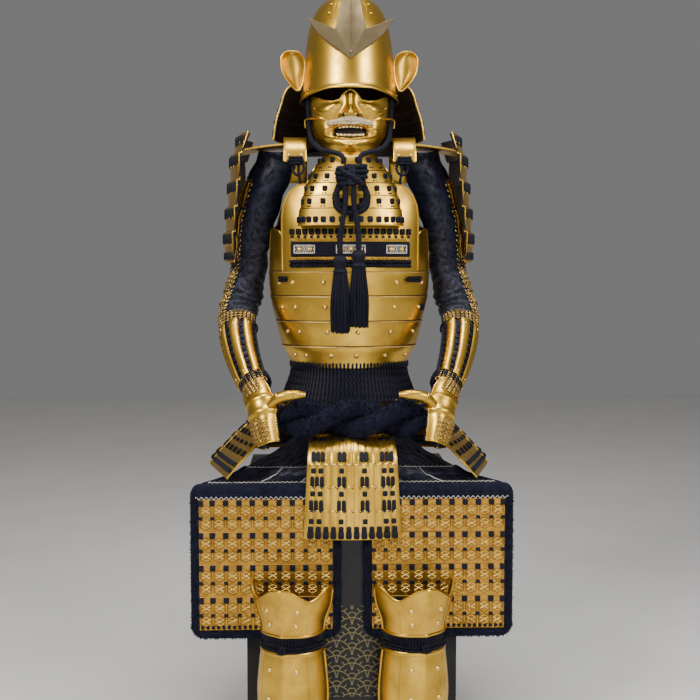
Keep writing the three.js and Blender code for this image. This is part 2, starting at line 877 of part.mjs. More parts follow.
// A smooth rise round a point of the mask, the same on both cheeks.
function maskRelief(x, z) {
  return MASK_RELIEF.reduce((sum, hill) => {
    const across = (Math.abs(x) - hill.x) / hill.wide;
    const along = (z - hill.z) / hill.tall;
    return sum + hill.raise * Math.exp(-across * across - along * along);
  }, 0);
}

function maskPlace(angle, share, out) {
  const wide = rowAt(MASK, "z", MASK_CHEEK_Z).half * Math.sin(angle * DEGREE);
  const z = mix(MASK_BOTTOM, rowAt(MASK_TOP, "x", Math.abs(wide)).z, share);
  const row = rowAt(MASK, "z", z);
  const cosine = Math.cos(angle * DEGREE);
  const x = row.half * Math.sin(angle * DEGREE);
  const y = row.side + (row.front - row.side) * cosine;
  const normal = new THREE.Vector3(Math.sin(angle * DEGREE), -cosine, 0);
  const raised = out ? out + maskRelief(x, z) : 0;
  return new THREE.Vector3(x, y, z).addScaledVector(normal, raised);
}

// Two rows of teeth on gums that close the mouth above and below.
function teeth() {
  const { count, width, pitch, upper, lower, depth, y, gap } = TOOTH;
  const gum = MOUTH.height / 2 + GUM.over;
  const length = count * pitch + 2 * GUM.side;
  const made = [
    block(length, depth, gum - upper + GUM.lap, 0, y + depth, MOUTH.z + upper - GUM.lap),
    block(length, depth, gum - lower + GUM.lap, 0, y + depth, MOUTH.z - gum),
  ];
  const front = y + depth * (1 - GUM.back);
  for (let i = 0; i < count; i += 1) {
    const x = (i - (count - 1) / 2) * pitch;
    made.push(block(width, depth, upper, x, front, MOUTH.z + gap));
    made.push(block(width, depth, lower, x, front, MOUTH.z - lower - gap));
  }
  return made;
}

function faceMask() {
  const rows = plainRows(MASK_SHARES);
  const shell = panel({ columns: bothWays(MASK_HALF), rows, place: maskPlace, thick: PLATE });
  const { y, z, half, height, sides, through } = MOUTH;
  const mouth = new THREE.CylinderGeometry(1, 1, through, sides).scale(half, 1, height / 2);
  return joined(cutBy(shell, closed(mouth.translate(0, y, z))), ...teeth());
}

function moustache() {
  const rows = MOUSTACHE.map((row) => {
    const face = rowAt(MASK, "z", row.z);
    const sine = row.x / face.half;
    const y = face.side + (face.front - face.side) * Math.sqrt(1 - sine * sine);
    const lift = PLATE + row.radius + MOUSTACHE_GAP + maskRelief(row.x, row.z + row.radius);
    return { x: row.x, y: y - lift, z: row.z, radius: row.radius };
  });
  return limb(rows, 6, 8);
}

function throatPlace(angle, z, out) {
  const row = rowAt(THROAT, "z", z);
  const sine = Math.sin(angle * DEGREE);
  const cosine = Math.cos(angle * DEGREE);
  const y = row.side + (row.front - row.side) * cosine;
  return new THREE.Vector3(row.half * sine + out * sine, y - out * cosine, z);
}

function throatGuard() {
  const rows = bentRows(lameRows(THROAT_EDGES, LAME_LEDGE), THROAT_BENDS);
  const columns = spread(-THROAT_REACH, THROAT_REACH, 10);
  return panel({ columns, rows, place: throatPlace, thick: PLATE });
}

function cordKnot() {
  const rings = KNOT.map((row) => {
    return Array.from({ length: KNOT_SIDES }, (_, i) => {
      const turn = (i * 2 * Math.PI) / KNOT_SIDES;
      return new THREE.Vector3(row.half * Math.cos(turn), KNOT_Y + row.deep * Math.sin(turn), row.z);
    });
  });
  return joined(loft(rings), cord(LOOP, CHEEK_CORD_RADIUS, 8, 12));
}

function cordEnd({ top, x, bottom }) {
  const heights = spread(KNOT[KNOT.length - 1].z - SEAM, bottom + SEAM, 4);
  const bend = [0, 0, 0.5, 1, 1];
  const points = heights.map((z, i) => ({ x: mix(top, x, bend[i]), y: CORD_END_Y, z }));
  return cord(points, CORD_END_RADIUS, 8, 8);
}

function tasselHead(centre) {
  const { head, neck, belly, sides } = TASSEL;
  const ring = (radius, drop) => {
    return Array.from({ length: sides }, (_, i) => {
      const turn = (i * 2 * Math.PI) / sides;
      const off = new THREE.Vector3(radius * Math.cos(turn), radius * Math.sin(turn), -drop);
      return centre.clone().add(off);
    });
  };
  return loft([ring(neck, 0), ring(belly, 10), ring(belly, 20), ring(neck + 2, 25), ring(belly, head)]);
}

// A bound head with loose strands of silk below it.
function tassel({ x, bottom }) {
  const { head, belly, spread: wide, length, strands } = TASSEL;
  const centre = new THREE.Vector3(x, CORD_END_Y, bottom);
  const made = Array.from({ length: strands }, (_, k) => {
    const reach = Math.sqrt((k + 0.6) / strands);
    const turn = k * GOLDEN_TURN;
    const fall = length - head - ((k * 7) % 5) * STRAND.uneven;
    const section = (radius, thick, drop) => {
      return [0, 120, 240].map((side) => {
        const spin = side * DEGREE + turn;
        return new THREE.Vector3(
          centre.x + radius * Math.cos(turn) + thick * Math.cos(spin),
          centre.y + radius * Math.sin(turn) + thick * Math.sin(spin),
          centre.z - drop,
        );
      });
    };
    const start = section((belly - 2 * STRAND.root) * reach, STRAND.root, head - STRAND.sunk);
    const middle = section(mix(belly, wide, 0.6) * reach, STRAND.middle, head + fall * 0.5);
    return loft([start, middle, section(wide * reach, STRAND.tip, head + fall)]);
  });
  return joined(tasselHead(centre), ...made);
}

// The lames below the first edge are level; above it the wall runs up to its own top line.
function cuirassPanel(columns, topOf) {
  const foot = CUIRASS_EDGES[0];
  const tallest = Math.max(...columns.map(topOf));
  const upper = [tallest, ...CUIRASS_UPPER.filter((height) => height < tallest - 2), foot + LEDGE_HALF];
  const lames = lameRows(CUIRASS_EDGES, CUIRASS_LEDGE);
  lames[0].at -= LEDGE_HALF;
  const place = (angle, z, out) => {
    const share = (z - foot - LEDGE_HALF) / (tallest - foot - LEDGE_HALF);
    const height = share <= 0 ? z : mix(foot + LEDGE_HALF, topOf(angle), share);
    return torsoPlace(angle, height, out);
  };
  return panel({ columns, rows: [...plainRows(upper), ...lames], place, thick: PLATE });
}

function bothWays(angles) {
  return [...angles.map((angle) => -angle).reverse(), 0, ...angles];
}

function cuirassFront() {
  const topOf = (angle) => rowAt(ARMHOLE, "angle", Math.abs(angle)).top;
  const shell = cuirassPanel(bothWays(CUIRASS_FRONT_HALF), topOf);
  const heads = RIVET_HEIGHTS.flatMap((z) => {
    return RIVET_ANGLES.map((angle) => rivet(torsoPlace, angle, z, PLATE + RIVET_SEAT));
  });
  return joined(shell, ...heads);
}

function cuirassBack() {
  const topOf = (angle) => rowAt(BACK_TOP, "angle", Math.abs(180 - angle)).top;
  return cuirassPanel(CUIRASS_BACK_COLUMNS, topOf);
}

// The angle at which a torso section reaches a given half width.
function angleFor(half, z, out) {
  const section = rowAt(TORSO, "z", z);
  const share = Math.min(1, half / (section.half + out));
  return Math.asin(share ** (1 / section.square)) / DEGREE;
}

function chestPlate() {
  const place = (share, z, out) => {
    const edge = angleFor(rowAt(CHEST_PLATE_EDGE, "z", z).half, z, CHEST_PLATE_OUT);
    return torsoPlace(share * edge, z, CHEST_PLATE_OUT + out);
  };
  const rows = plainRows(CHEST_PLATE_HEIGHTS);
  return panel({ columns: spread(-1, 1, 12), rows, place, thick: PLATE });
}

function chestLacing() {
  const place = (angle, z, out) => torsoPlace(angle, z, LACING_OUT + out);
  const columns = spread(-LACING_REACH, LACING_REACH, 12);
  return panel({ columns, rows: LACING_ROWS, place, thick: LACING_THICK });
}

function shoulderStrap() {
  const base = (x, step) => {
    const row = stepAt(STRAP, step);
    return new THREE.Vector3(x, row.y, row.z);
  };
  const place = (x, step, out) => {
    const here = base(x, step);
    const along = base(x, step + NEAR).sub(base(x, step - NEAR));
    const normal = new THREE.Vector3(0, -along.z, along.y).normalize();
    return here.addScaledVector(normal, out);
  };
  const rows = plainRows(STRAP.map((row, step) => step));
  const strap = panel({ columns: [STRAP_INNER, STRAP_OUTER], rows, place, thick: STRAP_THICK });
  return joined(strap, cord(STRAP_TIE, STRAP_TIE_RADIUS, 8, 4));
}

function shoulderBase(y, z) {
  const share = (y - SHOULDER_FROM) / (SHOULDER_TO - SHOULDER_FROM);
  return rowAt(SHOULDER_GUARD, "z", z).edge + SHOULDER_BOW * (1 - (share * 2 - 1) ** 2);
}

function shoulderGuard() {
  const place = (y, z, out) => new THREE.Vector3(shoulderBase(y, z) + out, y, z);
  const rows = lameRows(SHOULDER_EDGES, SHOULDER_LEDGE);
  return panel({ columns: SHOULDER_COLUMNS, rows, place, thick: PLATE });
}

// The small plate between strap and shoulder guard; its outer edge follows the guard.
function shoulderWing() {
  const place = (y, share, out) => {
    const z = WING_Z - WING_FALL * share;
    const x = mix(STRAP_OUTER + WING_IN, shoulderBase(y, z) - WING_GAP, share);
    return new THREE.Vector3(x, y, z + WING_ARCH * share * (1 - share) + out);
  };
  const rows = plainRows([0, 0.5, 1]);
  return panel({ columns: SHOULDER_COLUMNS.slice(1, 5), rows, place, thick: WING_THICK });
}

function sleeve() {
  const place = limbPlace(ARM);
  const relief = (angle, step) => {
    const fade = THREE.MathUtils.clamp(CREASED_UNTIL + 1 - step, 0, 1);
    return fade * SLEEVE_CREASE * Math.max(0, Math.sin(step * CREASE_TURN + angle * DEGREE * 2));
  };
  const columns = spread(0, 360, ARM_SIDES).slice(0, -1);
  const rows = plainRows(SLEEVE_STEPS);
  return panel({ columns, rows, place, thick: CLOTH, relief, ring: true });
}

// Five half-round splints side by side over the outside of the forearm.
function forearmGuard() {
  const { from, wide, count, raise, thick, off } = SPLINT;
  const limbAt = limbPlace(ARM);
  const place = (angle, step, out) => limbAt(angle, step, CLOTH + off + out);
  const relief = (angle) => {
    const within = ((angle - from) / wide) % 1;
    return within > 0.2 && within < 0.8 ? raise : 0;
  };
  const columns = spread(from, from + count * wide, count * 3);
  return panel({ columns, rows: plainRows(FOREARM_STEPS), place, thick, relief });
}

function wristTie() {
  const limbAt = limbPlace(ARM);
  const place = (angle, step, out) => limbAt(angle, step, CLOTH + WRIST_OFF + out);
  const columns = spread(0, 360, ARM_SIDES).slice(0, -1);
  const rows = [
    { at: WRIST_FROM, raise: 0 },
    { at: mix(WRIST_FROM, WRIST_TO, 0.5), raise: 2 },
    { at: WRIST_TO, raise: 0 },
  ];
  return panel({ columns, rows, place, thick: 2, ring: true });
}

function handGuard() {
  const place = limbPlace(HAND);
  const { from, to, raise } = KNUCKLE;
  const relief = (angle, step) => (step > from && step < to ? raise : 0);
  const rows = plainRows(HAND_STEPS);
  const columns = spread(HAND_FROM, HAND_TO, HAND_SIDES);
  const shell = panel({ columns, rows, place, thick: PLATE, relief });
  return joined(shell, limb(THUMB, 6, 5));
}

function skirtLacing() {
  const angles = spread(0, 360, SKIRT_RIBS * 2).slice(0, -1);
  const relief = (angle) => (Math.round((angle * SKIRT_RIBS * 2) / 360) % 2 ? 0 : SKIRT_RIB);
  const rows = plainRows([WAIST_Z - SEAM, SKIRT_Z]);
  return panel({ columns: angles, rows, place: torsoPlace, thick: CLOTH, relief, ring: true });
}

function tassetFront() {
  const base = (share, step) => {
    const row = stepAt(TASSET_FRONT, step);
    return new THREE.Vector3(share * row.half, row.y + row.bow * share * share, row.z);
  };
  const facing = new THREE.Vector3(0, -1, 0.3);
  const rows = bentRows(lameRows(TASSET_FRONT_LAMES, TASSET_LEDGE, 0.02), TASSET_BENDS, 0.1);
  const bent = rows.map((row) => (row.at < TASSET_STEEP ? { at: row.at, raise: 0 } : row));
  const place = offsetFrom(base, facing);
  return panel({ columns: spread(-1, 1, 8), rows: bent, place, thick: PLATE });
}

// A tasset that hangs from a stretch of the skirt's lower edge and spreads over the lap.
function sideTasset({ from, to, near, far }) {
  const base = (share, step) => {
    const top = torsoPlace(mix(from, to, share), SKIRT_Z, 0).setZ(SKIRT_Z - TASSET_DROP);
    const low = new THREE.Vector3(...near).lerp(new THREE.Vector3(...far), share);
    const point = top.lerp(low, step);
    point.z += TASSET_BOW * Math.sin(Math.PI * THREE.MathUtils.clamp(step, 0, 1));
    return point;
  };
  const rows = lameRows(TASSET_LAMES, TASSET_LEDGE, 0.004);
  rows[0].raise = 0;
  const place = offsetFrom(base, new THREE.Vector3(0, 0, 1));
  return panel({ columns: spread(0, 1, 3), rows, place, thick: PLATE });
}

// One strand of the twisted sash; the two wind round each other between the hands.
function sashStrand(phase) {
  const { half, y, z, orbit, radius, end, turns } = TWIST;
  const rings = spread(-1, 1, TWIST_STEPS).map((share) => {
    const taper = share ** 2 > 0.5 ? mix(1, end, (share ** 2 - 0.5) / 0.5) : 1;
    const turn = phase + share * Math.PI * turns;
    return Array.from({ length: TWIST_SIDES }, (_, i) => {
      const around = (i * 2 * Math.PI) / TWIST_SIDES;
      const across = orbit * taper * Math.sin(turn) + radius * taper * Math.cos(around);
      const up = orbit * taper * Math.cos(turn) + radius * taper * Math.sin(around);
      return new THREE.Vector3(share * half, y + across, z + up);
    });
  });
  return loft(rings);
}

function thighLap() {
  const place = (share, step, out) => {
    const row = stepAt(LAP, step);
    const along = stepAt(LAP, step + NEAR);
    const before = stepAt(LAP, step - NEAR);
    const normal = new THREE.Vector3(0, along.z - before.z, before.y - along.y).normalize();
    return new THREE.Vector3(share * row.half, row.y, row.z).addScaledVector(normal, out);
  };
  const relief = (share, step) => {
    const laid = step > 0 && step < LAP.length - 2;
    return laid ? LAP_CREASE * (1 + Math.sin(share * LAP_WAVES + step * 2)) : 0;
  };
  const rows = plainRows(LAP.map((row, step) => step));
  return panel({ columns: spread(-1, 1, 10), rows, place, thick: THIGH_THICK, relief });
}

function thighCloth() {
  const place = (x, z, out) => new THREE.Vector3(x, THIGH_Y - out, z);
  const roll = [0, BORDER_ROLL, BORDER_WIDE - BORDER_ROLL, BORDER_WIDE];
  const inner = roll.map((step) => THIGH_INNER + step);
  const outer = roll.map((step) => THIGH_OUTER - step).reverse();
  const heights = [THIGH_TOP, THIGH_LOW, ...roll.map((step) => THIGH_BOTTOM + step).reverse()];
  const inside = (value, low, high) => value > low + 1 && value < high - 1;
  const relief = (x, z) => {
    const atSide = inside(x, inner[0], inner[3]) || inside(x, outer[0], outer[3]);
    const atHem = inside(z, THIGH_BOTTOM, THIGH_BOTTOM + BORDER_WIDE);
    const fromTop = z > THIGH_TOP - 1 ? 0 : 1;
    const withinEnds = inside(x, THIGH_INNER, THIGH_OUTER) && z > THIGH_BOTTOM + 1;
    return (atSide || atHem) && withinEnds ? BORDER_RAISE * fromTop : 0;
  };
  const columns = [...inner, ...THIGH_MIDDLE, ...outer];
  return panel({ columns, rows: plainRows(heights), place, thick: THIGH_THICK, relief });
}

// Rows of small scales laced side by side on the thigh cloth, each a low raised point.
function thighScales() {
  const { inner, outer, top, bottom, out, columns, rows } = SCALES;
  const across = spread(inner, outer, columns);
  const down = spread(top, bottom, rows);
  const front = THIGH_Y - out - SCALE_THICK;
  const points = [];
  const faces = [];
  const point = (x, y, z) => points.push(new THREE.Vector3(x, y, z)) - 1;
  const corner = (i, j, y = front) => point(across[i], y, down[j]);
  const quad = (a, b, c, d) => faces.push([a, b, c], [a, c, d]);
  for (let i = 0; i < columns; i += 1) {
    for (let j = 0; j < rows; j += 1) {
      const round = [corner(i, j), corner(i + 1, j), corner(i + 1, j + 1), corner(i, j + 1)];
      const x = (across[i] + across[i + 1]) / 2;
      const peak = point(x, front - SCALE_RAISE, (down[j] + down[j + 1]) / 2);
      round.forEach((from, k) => faces.push([from, peak, round[(k + 1) % 4]]));
    }
  }
  const rim = [
    ...across.slice(0, -1).map((x, i) => [i, 0]),
    ...down.slice(0, -1).map((z, j) => [columns, j]),
    ...across.slice(1).map((x, i) => [columns - i, rows]),
    ...down.slice(1).map((z, j) => [0, rows - j]),
  ];
  const middle = point((inner + outer) / 2, THIGH_Y - out, (top + bottom) / 2);
  rim.forEach(([i, j], k) => {
    const [p, q] = rim[(k + 1) % rim.length];
    const [a, b] = [corner(i, j), corner(p, q)];
    const [c, d] = [corner(p, q, THIGH_Y - out), corner(i, j, THIGH_Y - out)];
    quad(a, b, c, d);
    faces.push([d, c, middle]);
  });
  return body(points, faces);
}

function shinPlace(angle, z, out) {
  const row = rowAt(SHIN, "z", z);
  const ridge = out ? SHIN_RIDGE * Math.exp(-((angle / RIDGE_WIDE) ** 2)) : 0;
  const sine = Math.sin(angle * DEGREE);
  const cosine = Math.cos(angle * DEGREE);
  return new THREE.Vector3((row.half + out) * sine, -(row.deep + out + ridge) * cosine, z);
}

function kneeCup() {
  const place = (angle, share, out) => {
    const top = rowAt(KNEE_TOP, "angle", Math.abs(angle)).z;
    return shinPlace(angle, mix(KNEE_BOTTOM, top, share), out);
  };
  const shell = panel({ columns: SHIN_COLUMNS, rows: KNEE_ROWS, place, thick: PLATE });
  return joined(shell, ...KNEE_RIVETS.map((spot) => rivet(shinPlace, spot.angle, spot.z, PLATE)));
}

function shinTie() {
  return panel({ columns: SHIN_COLUMNS, rows: TIE_ROWS, place: shinPlace, thick: CLOTH });
}

function shinPlate() {
  const shell = panel({ columns: SHIN_COLUMNS, rows: SHIN_ROWS, place: shinPlace, thick: PLATE });
  return joined(shell, ...SHIN_RIVETS.map((spot) => rivet(shinPlace, spot.angle, spot.z, PLATE)));
}

// Materials
function finish(color, roughness, metalness) {
  return new THREE.MeshStandardMaterial({ color, roughness, metalness });
}

const FINISH = {
  gilt: finish(0xb98a3a, 0.35, 0.9),
  crest: finish(0x8f7c55, 0.4, 0.9),
  lace: finish(0x0d1026, 0.85, 0),
  cloth: finish(0x0b0d1c, 0.9, 0),
  plush: finish(0x080a18, 1, 0),
  hair: finish(0xe8e2d2, 0.9, 0),
  lacquer: finish(0x0a0908, 0.3, 0),
  wood: finish(0x1c1511, 0.6, 0),
};

const armour = new THREE.Group();

function add(name, geometry, material, parent = armour) {
  const mesh = new THREE.Mesh(geometry, material.clone());
  mesh.name = name;
  parent.add(mesh);
  return mesh;
}

// A piece of the viewer's right side and its mirror image on the left.
function addPair(name, geometry, material) {
  add(name + "_right", geometry, material);
  add(name + "_left", geometry, material).scale.x = -1;
}

function addDisplay() {
  add("chest_body", chestBody(), FINISH.lacquer);
  add("chest_lid", chestLid(), FINISH.lacquer);
  add("stand_frame", standFrame(), FINISH.wood);
  add("helmet_rest", helmetRest(), FINISH.wood);
}

function addHead() {
  add("helmet_bowl", helmetBowl(), FINISH.gilt);
  add("helmet_crest", helmetCrest(), FINISH.crest);
  addPair("helmet_ear", helmetEar(), FINISH.gilt);
  add("neck_guard", neckGuard(), FINISH.gilt);
  add("face_mask", faceMask(), FINISH.gilt);
  add("mask_moustache", moustache(), FINISH.hair);
  add("throat_guard", throatGuard(), FINISH.gilt);
}

function addCords() {
  addPair("cheek_cord", cord(CHEEK_CORD, CHEEK_CORD_RADIUS, 8, 13), FINISH.lace);
  add("cord_knot", cordKnot(), FINISH.lace);
  for (const [side, end] of Object.entries(CORD_ENDS)) {
    add("cord_end_" + side, cordEnd(end), FINISH.lace);
    add("tassel_" + side, tassel(end), FINISH.lace);
  }
}

function addTorso() {
  add("cuirass_front", cuirassFront(), FINISH.gilt);
  add("cuirass_back", cuirassBack(), FINISH.gilt);
  add("chest_plate", chestPlate(), FINISH.gilt);
  add("chest_lacing", chestLacing(), FINISH.lace);
  addPair("shoulder_strap", shoulderStrap(), FINISH.gilt);
  addPair("shoulder_guard", shoulderGuard(), FINISH.gilt);
  addPair("shoulder_wing", shoulderWing(), FINISH.gilt);
}

function addArms() {
  addPair("sleeve", sleeve(), FINISH.cloth);
  addPair("forearm_guard", forearmGuard(), FINISH.gilt);
  addPair("wrist_tie", wristTie(), FINISH.lace);
  addPair("hand_guard", handGuard(), FINISH.gilt);
}

function addSkirt() {
  add("skirt_lacing", skirtLacing(), FINISH.lace);
  add("tasset_front", tassetFront(), FINISH.gilt);
  for (const [name, tasset] of Object.entries(SIDE_TASSETS)) {
    addPair(name, sideTasset(tasset), FINISH.gilt);
  }
  add("sash_twist_a", sashStrand(0), FINISH.plush);
  add("sash_twist_b", sashStrand(Math.PI), FINISH.plush);
}

function addThighs() {
  add("thigh_lap", thighLap(), FINISH.cloth);
  addPair("thigh_cloth", thighCloth(), FINISH.cloth);
  addPair("thigh_scales", thighScales(), FINISH.gilt);
}

// Each shin guard stands by itself on the floor, turned outwards.
function addShins() {
  const pieces = { knee_cup: kneeCup(), shin_tie: shinTie(), shin_plate: shinPlate() };
  for (const [side, way] of [["right", 1], ["left", -1]]) {
    const stance = new THREE.Group();
    stance.position.set(way * SHIN_X, SHIN_Y, 0);
    stance.rotation.z = way * SHIN_TURN * DEGREE;
    armour.add(stance);
    for (const [name, geometry] of Object.entries(pieces)) {
      add(name + "_" + side, geometry, name === "shin_tie" ? FINISH.lace : FINISH.gilt, stance);
    }
  }
}

addDisplay();
addHead();
addCords();
addTorso();
addArms();
addSkirt();
addThighs();
addShins();

export default armour;
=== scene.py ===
"""Dresses the gilt samurai armour, its black lacquered chest and its stand.

All table sizes are in millimetres, +Z up, and the armour faces -Y, as in the part's own source.
"""
import math
import random

import bmesh
import bpy
from mathutils import Matrix, Vector


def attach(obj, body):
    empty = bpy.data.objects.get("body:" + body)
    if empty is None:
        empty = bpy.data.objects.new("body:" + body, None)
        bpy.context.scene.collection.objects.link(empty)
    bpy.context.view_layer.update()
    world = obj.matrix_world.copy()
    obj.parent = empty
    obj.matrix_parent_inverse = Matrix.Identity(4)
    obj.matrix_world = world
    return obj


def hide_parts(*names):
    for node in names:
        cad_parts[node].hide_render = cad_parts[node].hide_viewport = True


bl_info = {
    "name": "Samurai armour",
    "version": (1, 0, 0),
    "blender": (4, 5, 0),
    "location": "3D View > Sidebar > Armour",
    "description": "Builds the finished look of a gilt samurai armour on its chest and stand",
    "category": "Object",
}

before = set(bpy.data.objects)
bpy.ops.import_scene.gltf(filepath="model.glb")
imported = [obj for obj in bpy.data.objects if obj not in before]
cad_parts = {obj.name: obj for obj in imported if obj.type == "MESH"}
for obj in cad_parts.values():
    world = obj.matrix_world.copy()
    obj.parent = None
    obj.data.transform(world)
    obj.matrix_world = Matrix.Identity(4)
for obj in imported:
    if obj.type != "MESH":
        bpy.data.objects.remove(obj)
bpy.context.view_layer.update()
MM = 0.001
UP = Vector((0, 0, 1))
FRONT = Vector((0, -1, 0))
SHARP = 32  # degrees between two faces, from which their edge stays sharp
SOFT = 60  # the same for cloth, cords and mail
SEED = 7

# How far a seat looks across and along its form: plain, by a step and by shares of it
BY_UNIT, BY_STEP, BY_SHARE, BY_SHARES = (0.5, 0.5), (0.5, 0.02), (0.5, 0.01), (0.01, 0.01)

# Camera, worked out from the photograph's view
CAMERA_PLACE = (-0.080, -2.559, 1.045)
CAMERA_TURN = -1.84
CAMERA_PITCH = 86.05
LENS = 58.11

# The trunk: height, half width, depth to the front and back, and how square it is
TORSO = [
    (762, 150, 118, 114, 1.0),
    (835, 128, 96, 94, 0.95),
    (882, 148, 104, 104, 0.92),
    (937, 162, 109, 110, 0.9),
    (992, 174, 112, 114, 0.88),
    (1046, 177, 114, 117, 0.86),
    (1100, 176, 114, 118, 0.84),
    (1136, 174, 111, 117, 0.8),
    (1165, 172, 106, 114, 0.76),
    (1206, 165, 97, 108, 0.72),
    (1235, 150, 88, 102, 0.7),
    (1262, 138, 80, 96, 0.7),
]
CUIRASS_EDGES = [1046, 992, 937, 882, 835]
ARMHOLE = [(0, 1062), (49, 1062), (50.5, 1104), (54, 1124), (60, 1134), (70, 1139), (88, 1138)]
BACK_TOP = [(0, 1250), (44, 1250), (56, 1215), (66, 1150), (88, 1138)]
CHEST_EDGE = [(1047, 147), (1165, 148), (1190, 145), (1212, 136), (1228, 122), (1235, 110)]
CHEST_OUT = 2.7
RIVET_ROWS = [1022, 968, 914, 862]
RIVET_ANGLES = [-58, -42, -16, 4.5, 31, 60]
BACK_RIVET_ANGLES = [118, 142, 162, 198, 218, 242]
FRONT_SPAN, BACK_SPAN = (-88, 88), (92, 268)
PLATE_RIVET = (5.4, 4.8)
SHIN_RIVET = (5.6, 4.6)
LACE_ROWS = [(1132, 11.4, 13, 4.6), (1121, 6.2, 5, 3)]
BAND_Z = 1094
ROPE_Z = 1063

# Helmet: half width, front, back and height along the dome
DOME = [
    (106, 124, 122, 1420),
    (103.4, 120, 121, 1446),
    (101, 116, 120, 1470),
    (97, 111, 116, 1507),
    (92, 104, 110, 1556),
    (83, 92, 99, 1595),
    (68, 75, 81, 1625),
    (42, 46, 50, 1645),
    (0, 0, 0, 1655),
]
DOME_CENTRE = 1470
RIM_SIDES, RIM_FRONT = 1420.5, 1437
EAR = [
    (1446, 110, 118),
    (1462, 102.8, 134),
    (1482, 99.6, 147),
    (1504, 98.8, 151),
    (1520, 104, 149),
    (1530, 117, 138),
]
NECK = [
    (1464, 105.4, 124.2), (1457, 133, 150), (1415, 151, 168), (1380, 162, 180), (1341, 168, 187),
]
NECK_SPAN = (91, 269)
NECK_EDGES = [1464, 1438, 1414, 1390, 1366, 1341]

# War mask and throat guard: height, half width, side depth, front depth
MASK = [
    (1440, 85, -34, -92),
    (1410, 85, -36, -97),
    (1375, 82, -39, -100),
    (1345, 76, -43, -101),
    (1322, 63, -50, -100),
    (1304, 49, -58, -96),
]
MASK_TOP = [(0, 1437), (12, 1432), (22, 1415), (38, 1411), (56, 1415), (72, 1424), (90, 1427)]
MASK_BOTTOM = 1304
THROAT = [
    (1303.4, 48, -59, -95),
    (1292, 60, -54, -104),
    (1262, 81, -74, -115),
    (1228, 94, -96, -128),
    (1196, 103, -102, -138),
    (1145, 112, -110, -150),
]
THROAT_SPAN = (-88, 88)
THROAT_EDGES = [1303.4, 1262, 1235, 1208, 1180, 1145]

# Cords: routes and hanging lengths
CHEEK_ROUTE = [
    (92.6, -38, 1435.1),
    (91, -42, 1412),
    (89.8, -47.2, 1386),
    (88.5, -53.3, 1360),
    (86, -62, 1338),
    (76, -76, 1320),
    (61, -97, 1308),
    (42, -126, 1301),
    (26, -150, 1294),
    (18, -161, 1286),
    (17, -163, 1279),
    (17, -163, 1272.6),
]
KNOT_Y = -163
KNOT_LOOP = [
    (-24, -158, 1232),
    (-31, -158, 1212),
    (-27, -158, 1190),
    (-10, -158, 1180),
    (10, -158, 1180),
    (27, -158, 1190),
    (31, -158, 1212),
    (24, -158, 1232),
]
KNOT_BOTTOM = 1226
CORD_ENDS = {"left": (-13, -24, 1080), "right": (5, 15, 1092)}
CORD_END_Y = -169
TASSEL_LENGTH = 168
TASSEL_STRANDS = 125
GOLDEN_TURN = 2.39996
HAIRS = 248

# Shoulders and arms
STRAP = [(-70, 1284), (-61, 1316), (-32, 1337), (10, 1341), (46, 1332), (70, 1302), (80, 1250.5)]
STRAP_SIDES = (96, 144)
STRAP_TIE = [(112, -72, 1292), (112, -80, 1262), (108, -79.5, 1235.5)]
# Height and half width of the shoulder guard; place and radius along the arm, hand and thumb
SHOULDER = [(1349, 214), (1303, 234), (1245, 239), (1188, 245), (1133, 250), (1067, 252)]
SHOULDER_EDGES = [1349, 1303, 1245, 1188, 1133, 1067]
SHOULDER_SPAN = (-80, 120)
SHOULDER_BOW = 25
WING_Z = 1322
ARM = [
    (160, 20, 1297, 40),
    (190, 27, 1232, 41),
    (208, 33, 1175, 39),
    (219, 36, 1120, 37),
    (224, 36, 1065, 36),
    (236, 30, 1005, 37),
    (250, 16, 955, 38),
    (249, -14, 915, 37),
    (237, -56, 868, 34),
    (219, -104, 826, 30),
    (200, -143, 795, 26),
]
HAND = [
    (200.3, -142.4, 795.5, 29.7),
    (193, -158, 781, 31.5),
    (186, -178, 757, 33),
    (178, -197, 722, 31),
    (169, -212, 684, 26),
]
HAND_SPAN = (-155, 45)
THUMB = [(171, -208, 768, 9), (150, -220, 785, 11), (120, -222, 790, 9.5), (98, -219, 790, 5)]

# Front tasset: height, depth, half width and how far its edges lie back
TASSET = [
    (761, -119, 62, 14),
    (730, -125, 70, 14),
    (706, -140, 78, 12),
    (694, -165, 84, 8),
    (690, -192, 88, 6),
    (668, -222, 91, 6),
    (642, -233, 93, 6),
    (597, -237, 95, 8),
    (547, -239, 98, 8),
    (510, -241, 100, 8),
    (488, -242, 101, 8),
]
TASSET_LAMES = [0, 3.6, 6, 7, 8, 10]
TASSET_HIGH_LACES = (-0.86, -0.7, -0.24, 0.26, 0.7, 0.86)
TASSET_LOW_LACES = (-0.88, -0.775, -0.67, -0.29, -0.19, 0.21, 0.31, 0.67, 0.775, 0.88)
# Side tassets: their angles round the skirt, and the ends of their lower edges
SIDE_TASSETS = {
    "tasset_front": (38, 80, (262, -214, 612), (312, -34, 612)),
    "tasset_side": (84, 128, (316, -16, 612), (300, 128, 612)),
    "tasset_back": (132, 176, (262, 196, 612), (16, 250, 612)),
}
SASH = {"half": 160, "y": -186, "z": 736.3, "orbit": 22, "radius": 21, "end": 0.42, "turns": 1.35}
# Lap: depth, height and half width from the hands down; shins: height, half width and depth
LAP = [
    (-120, 708, 100),
    (-104, 655, 165),
    (-104, 618, 232),
    (-124, 601, 264),
    (-150, 597.5, 286),
    (-210.4, 597.5, 320),
    (-214.5, 596.8, 326),
    (-218, 595, 331),
    (-220.2, 591.6, 335),
    (-221, 586.4, 337),
]
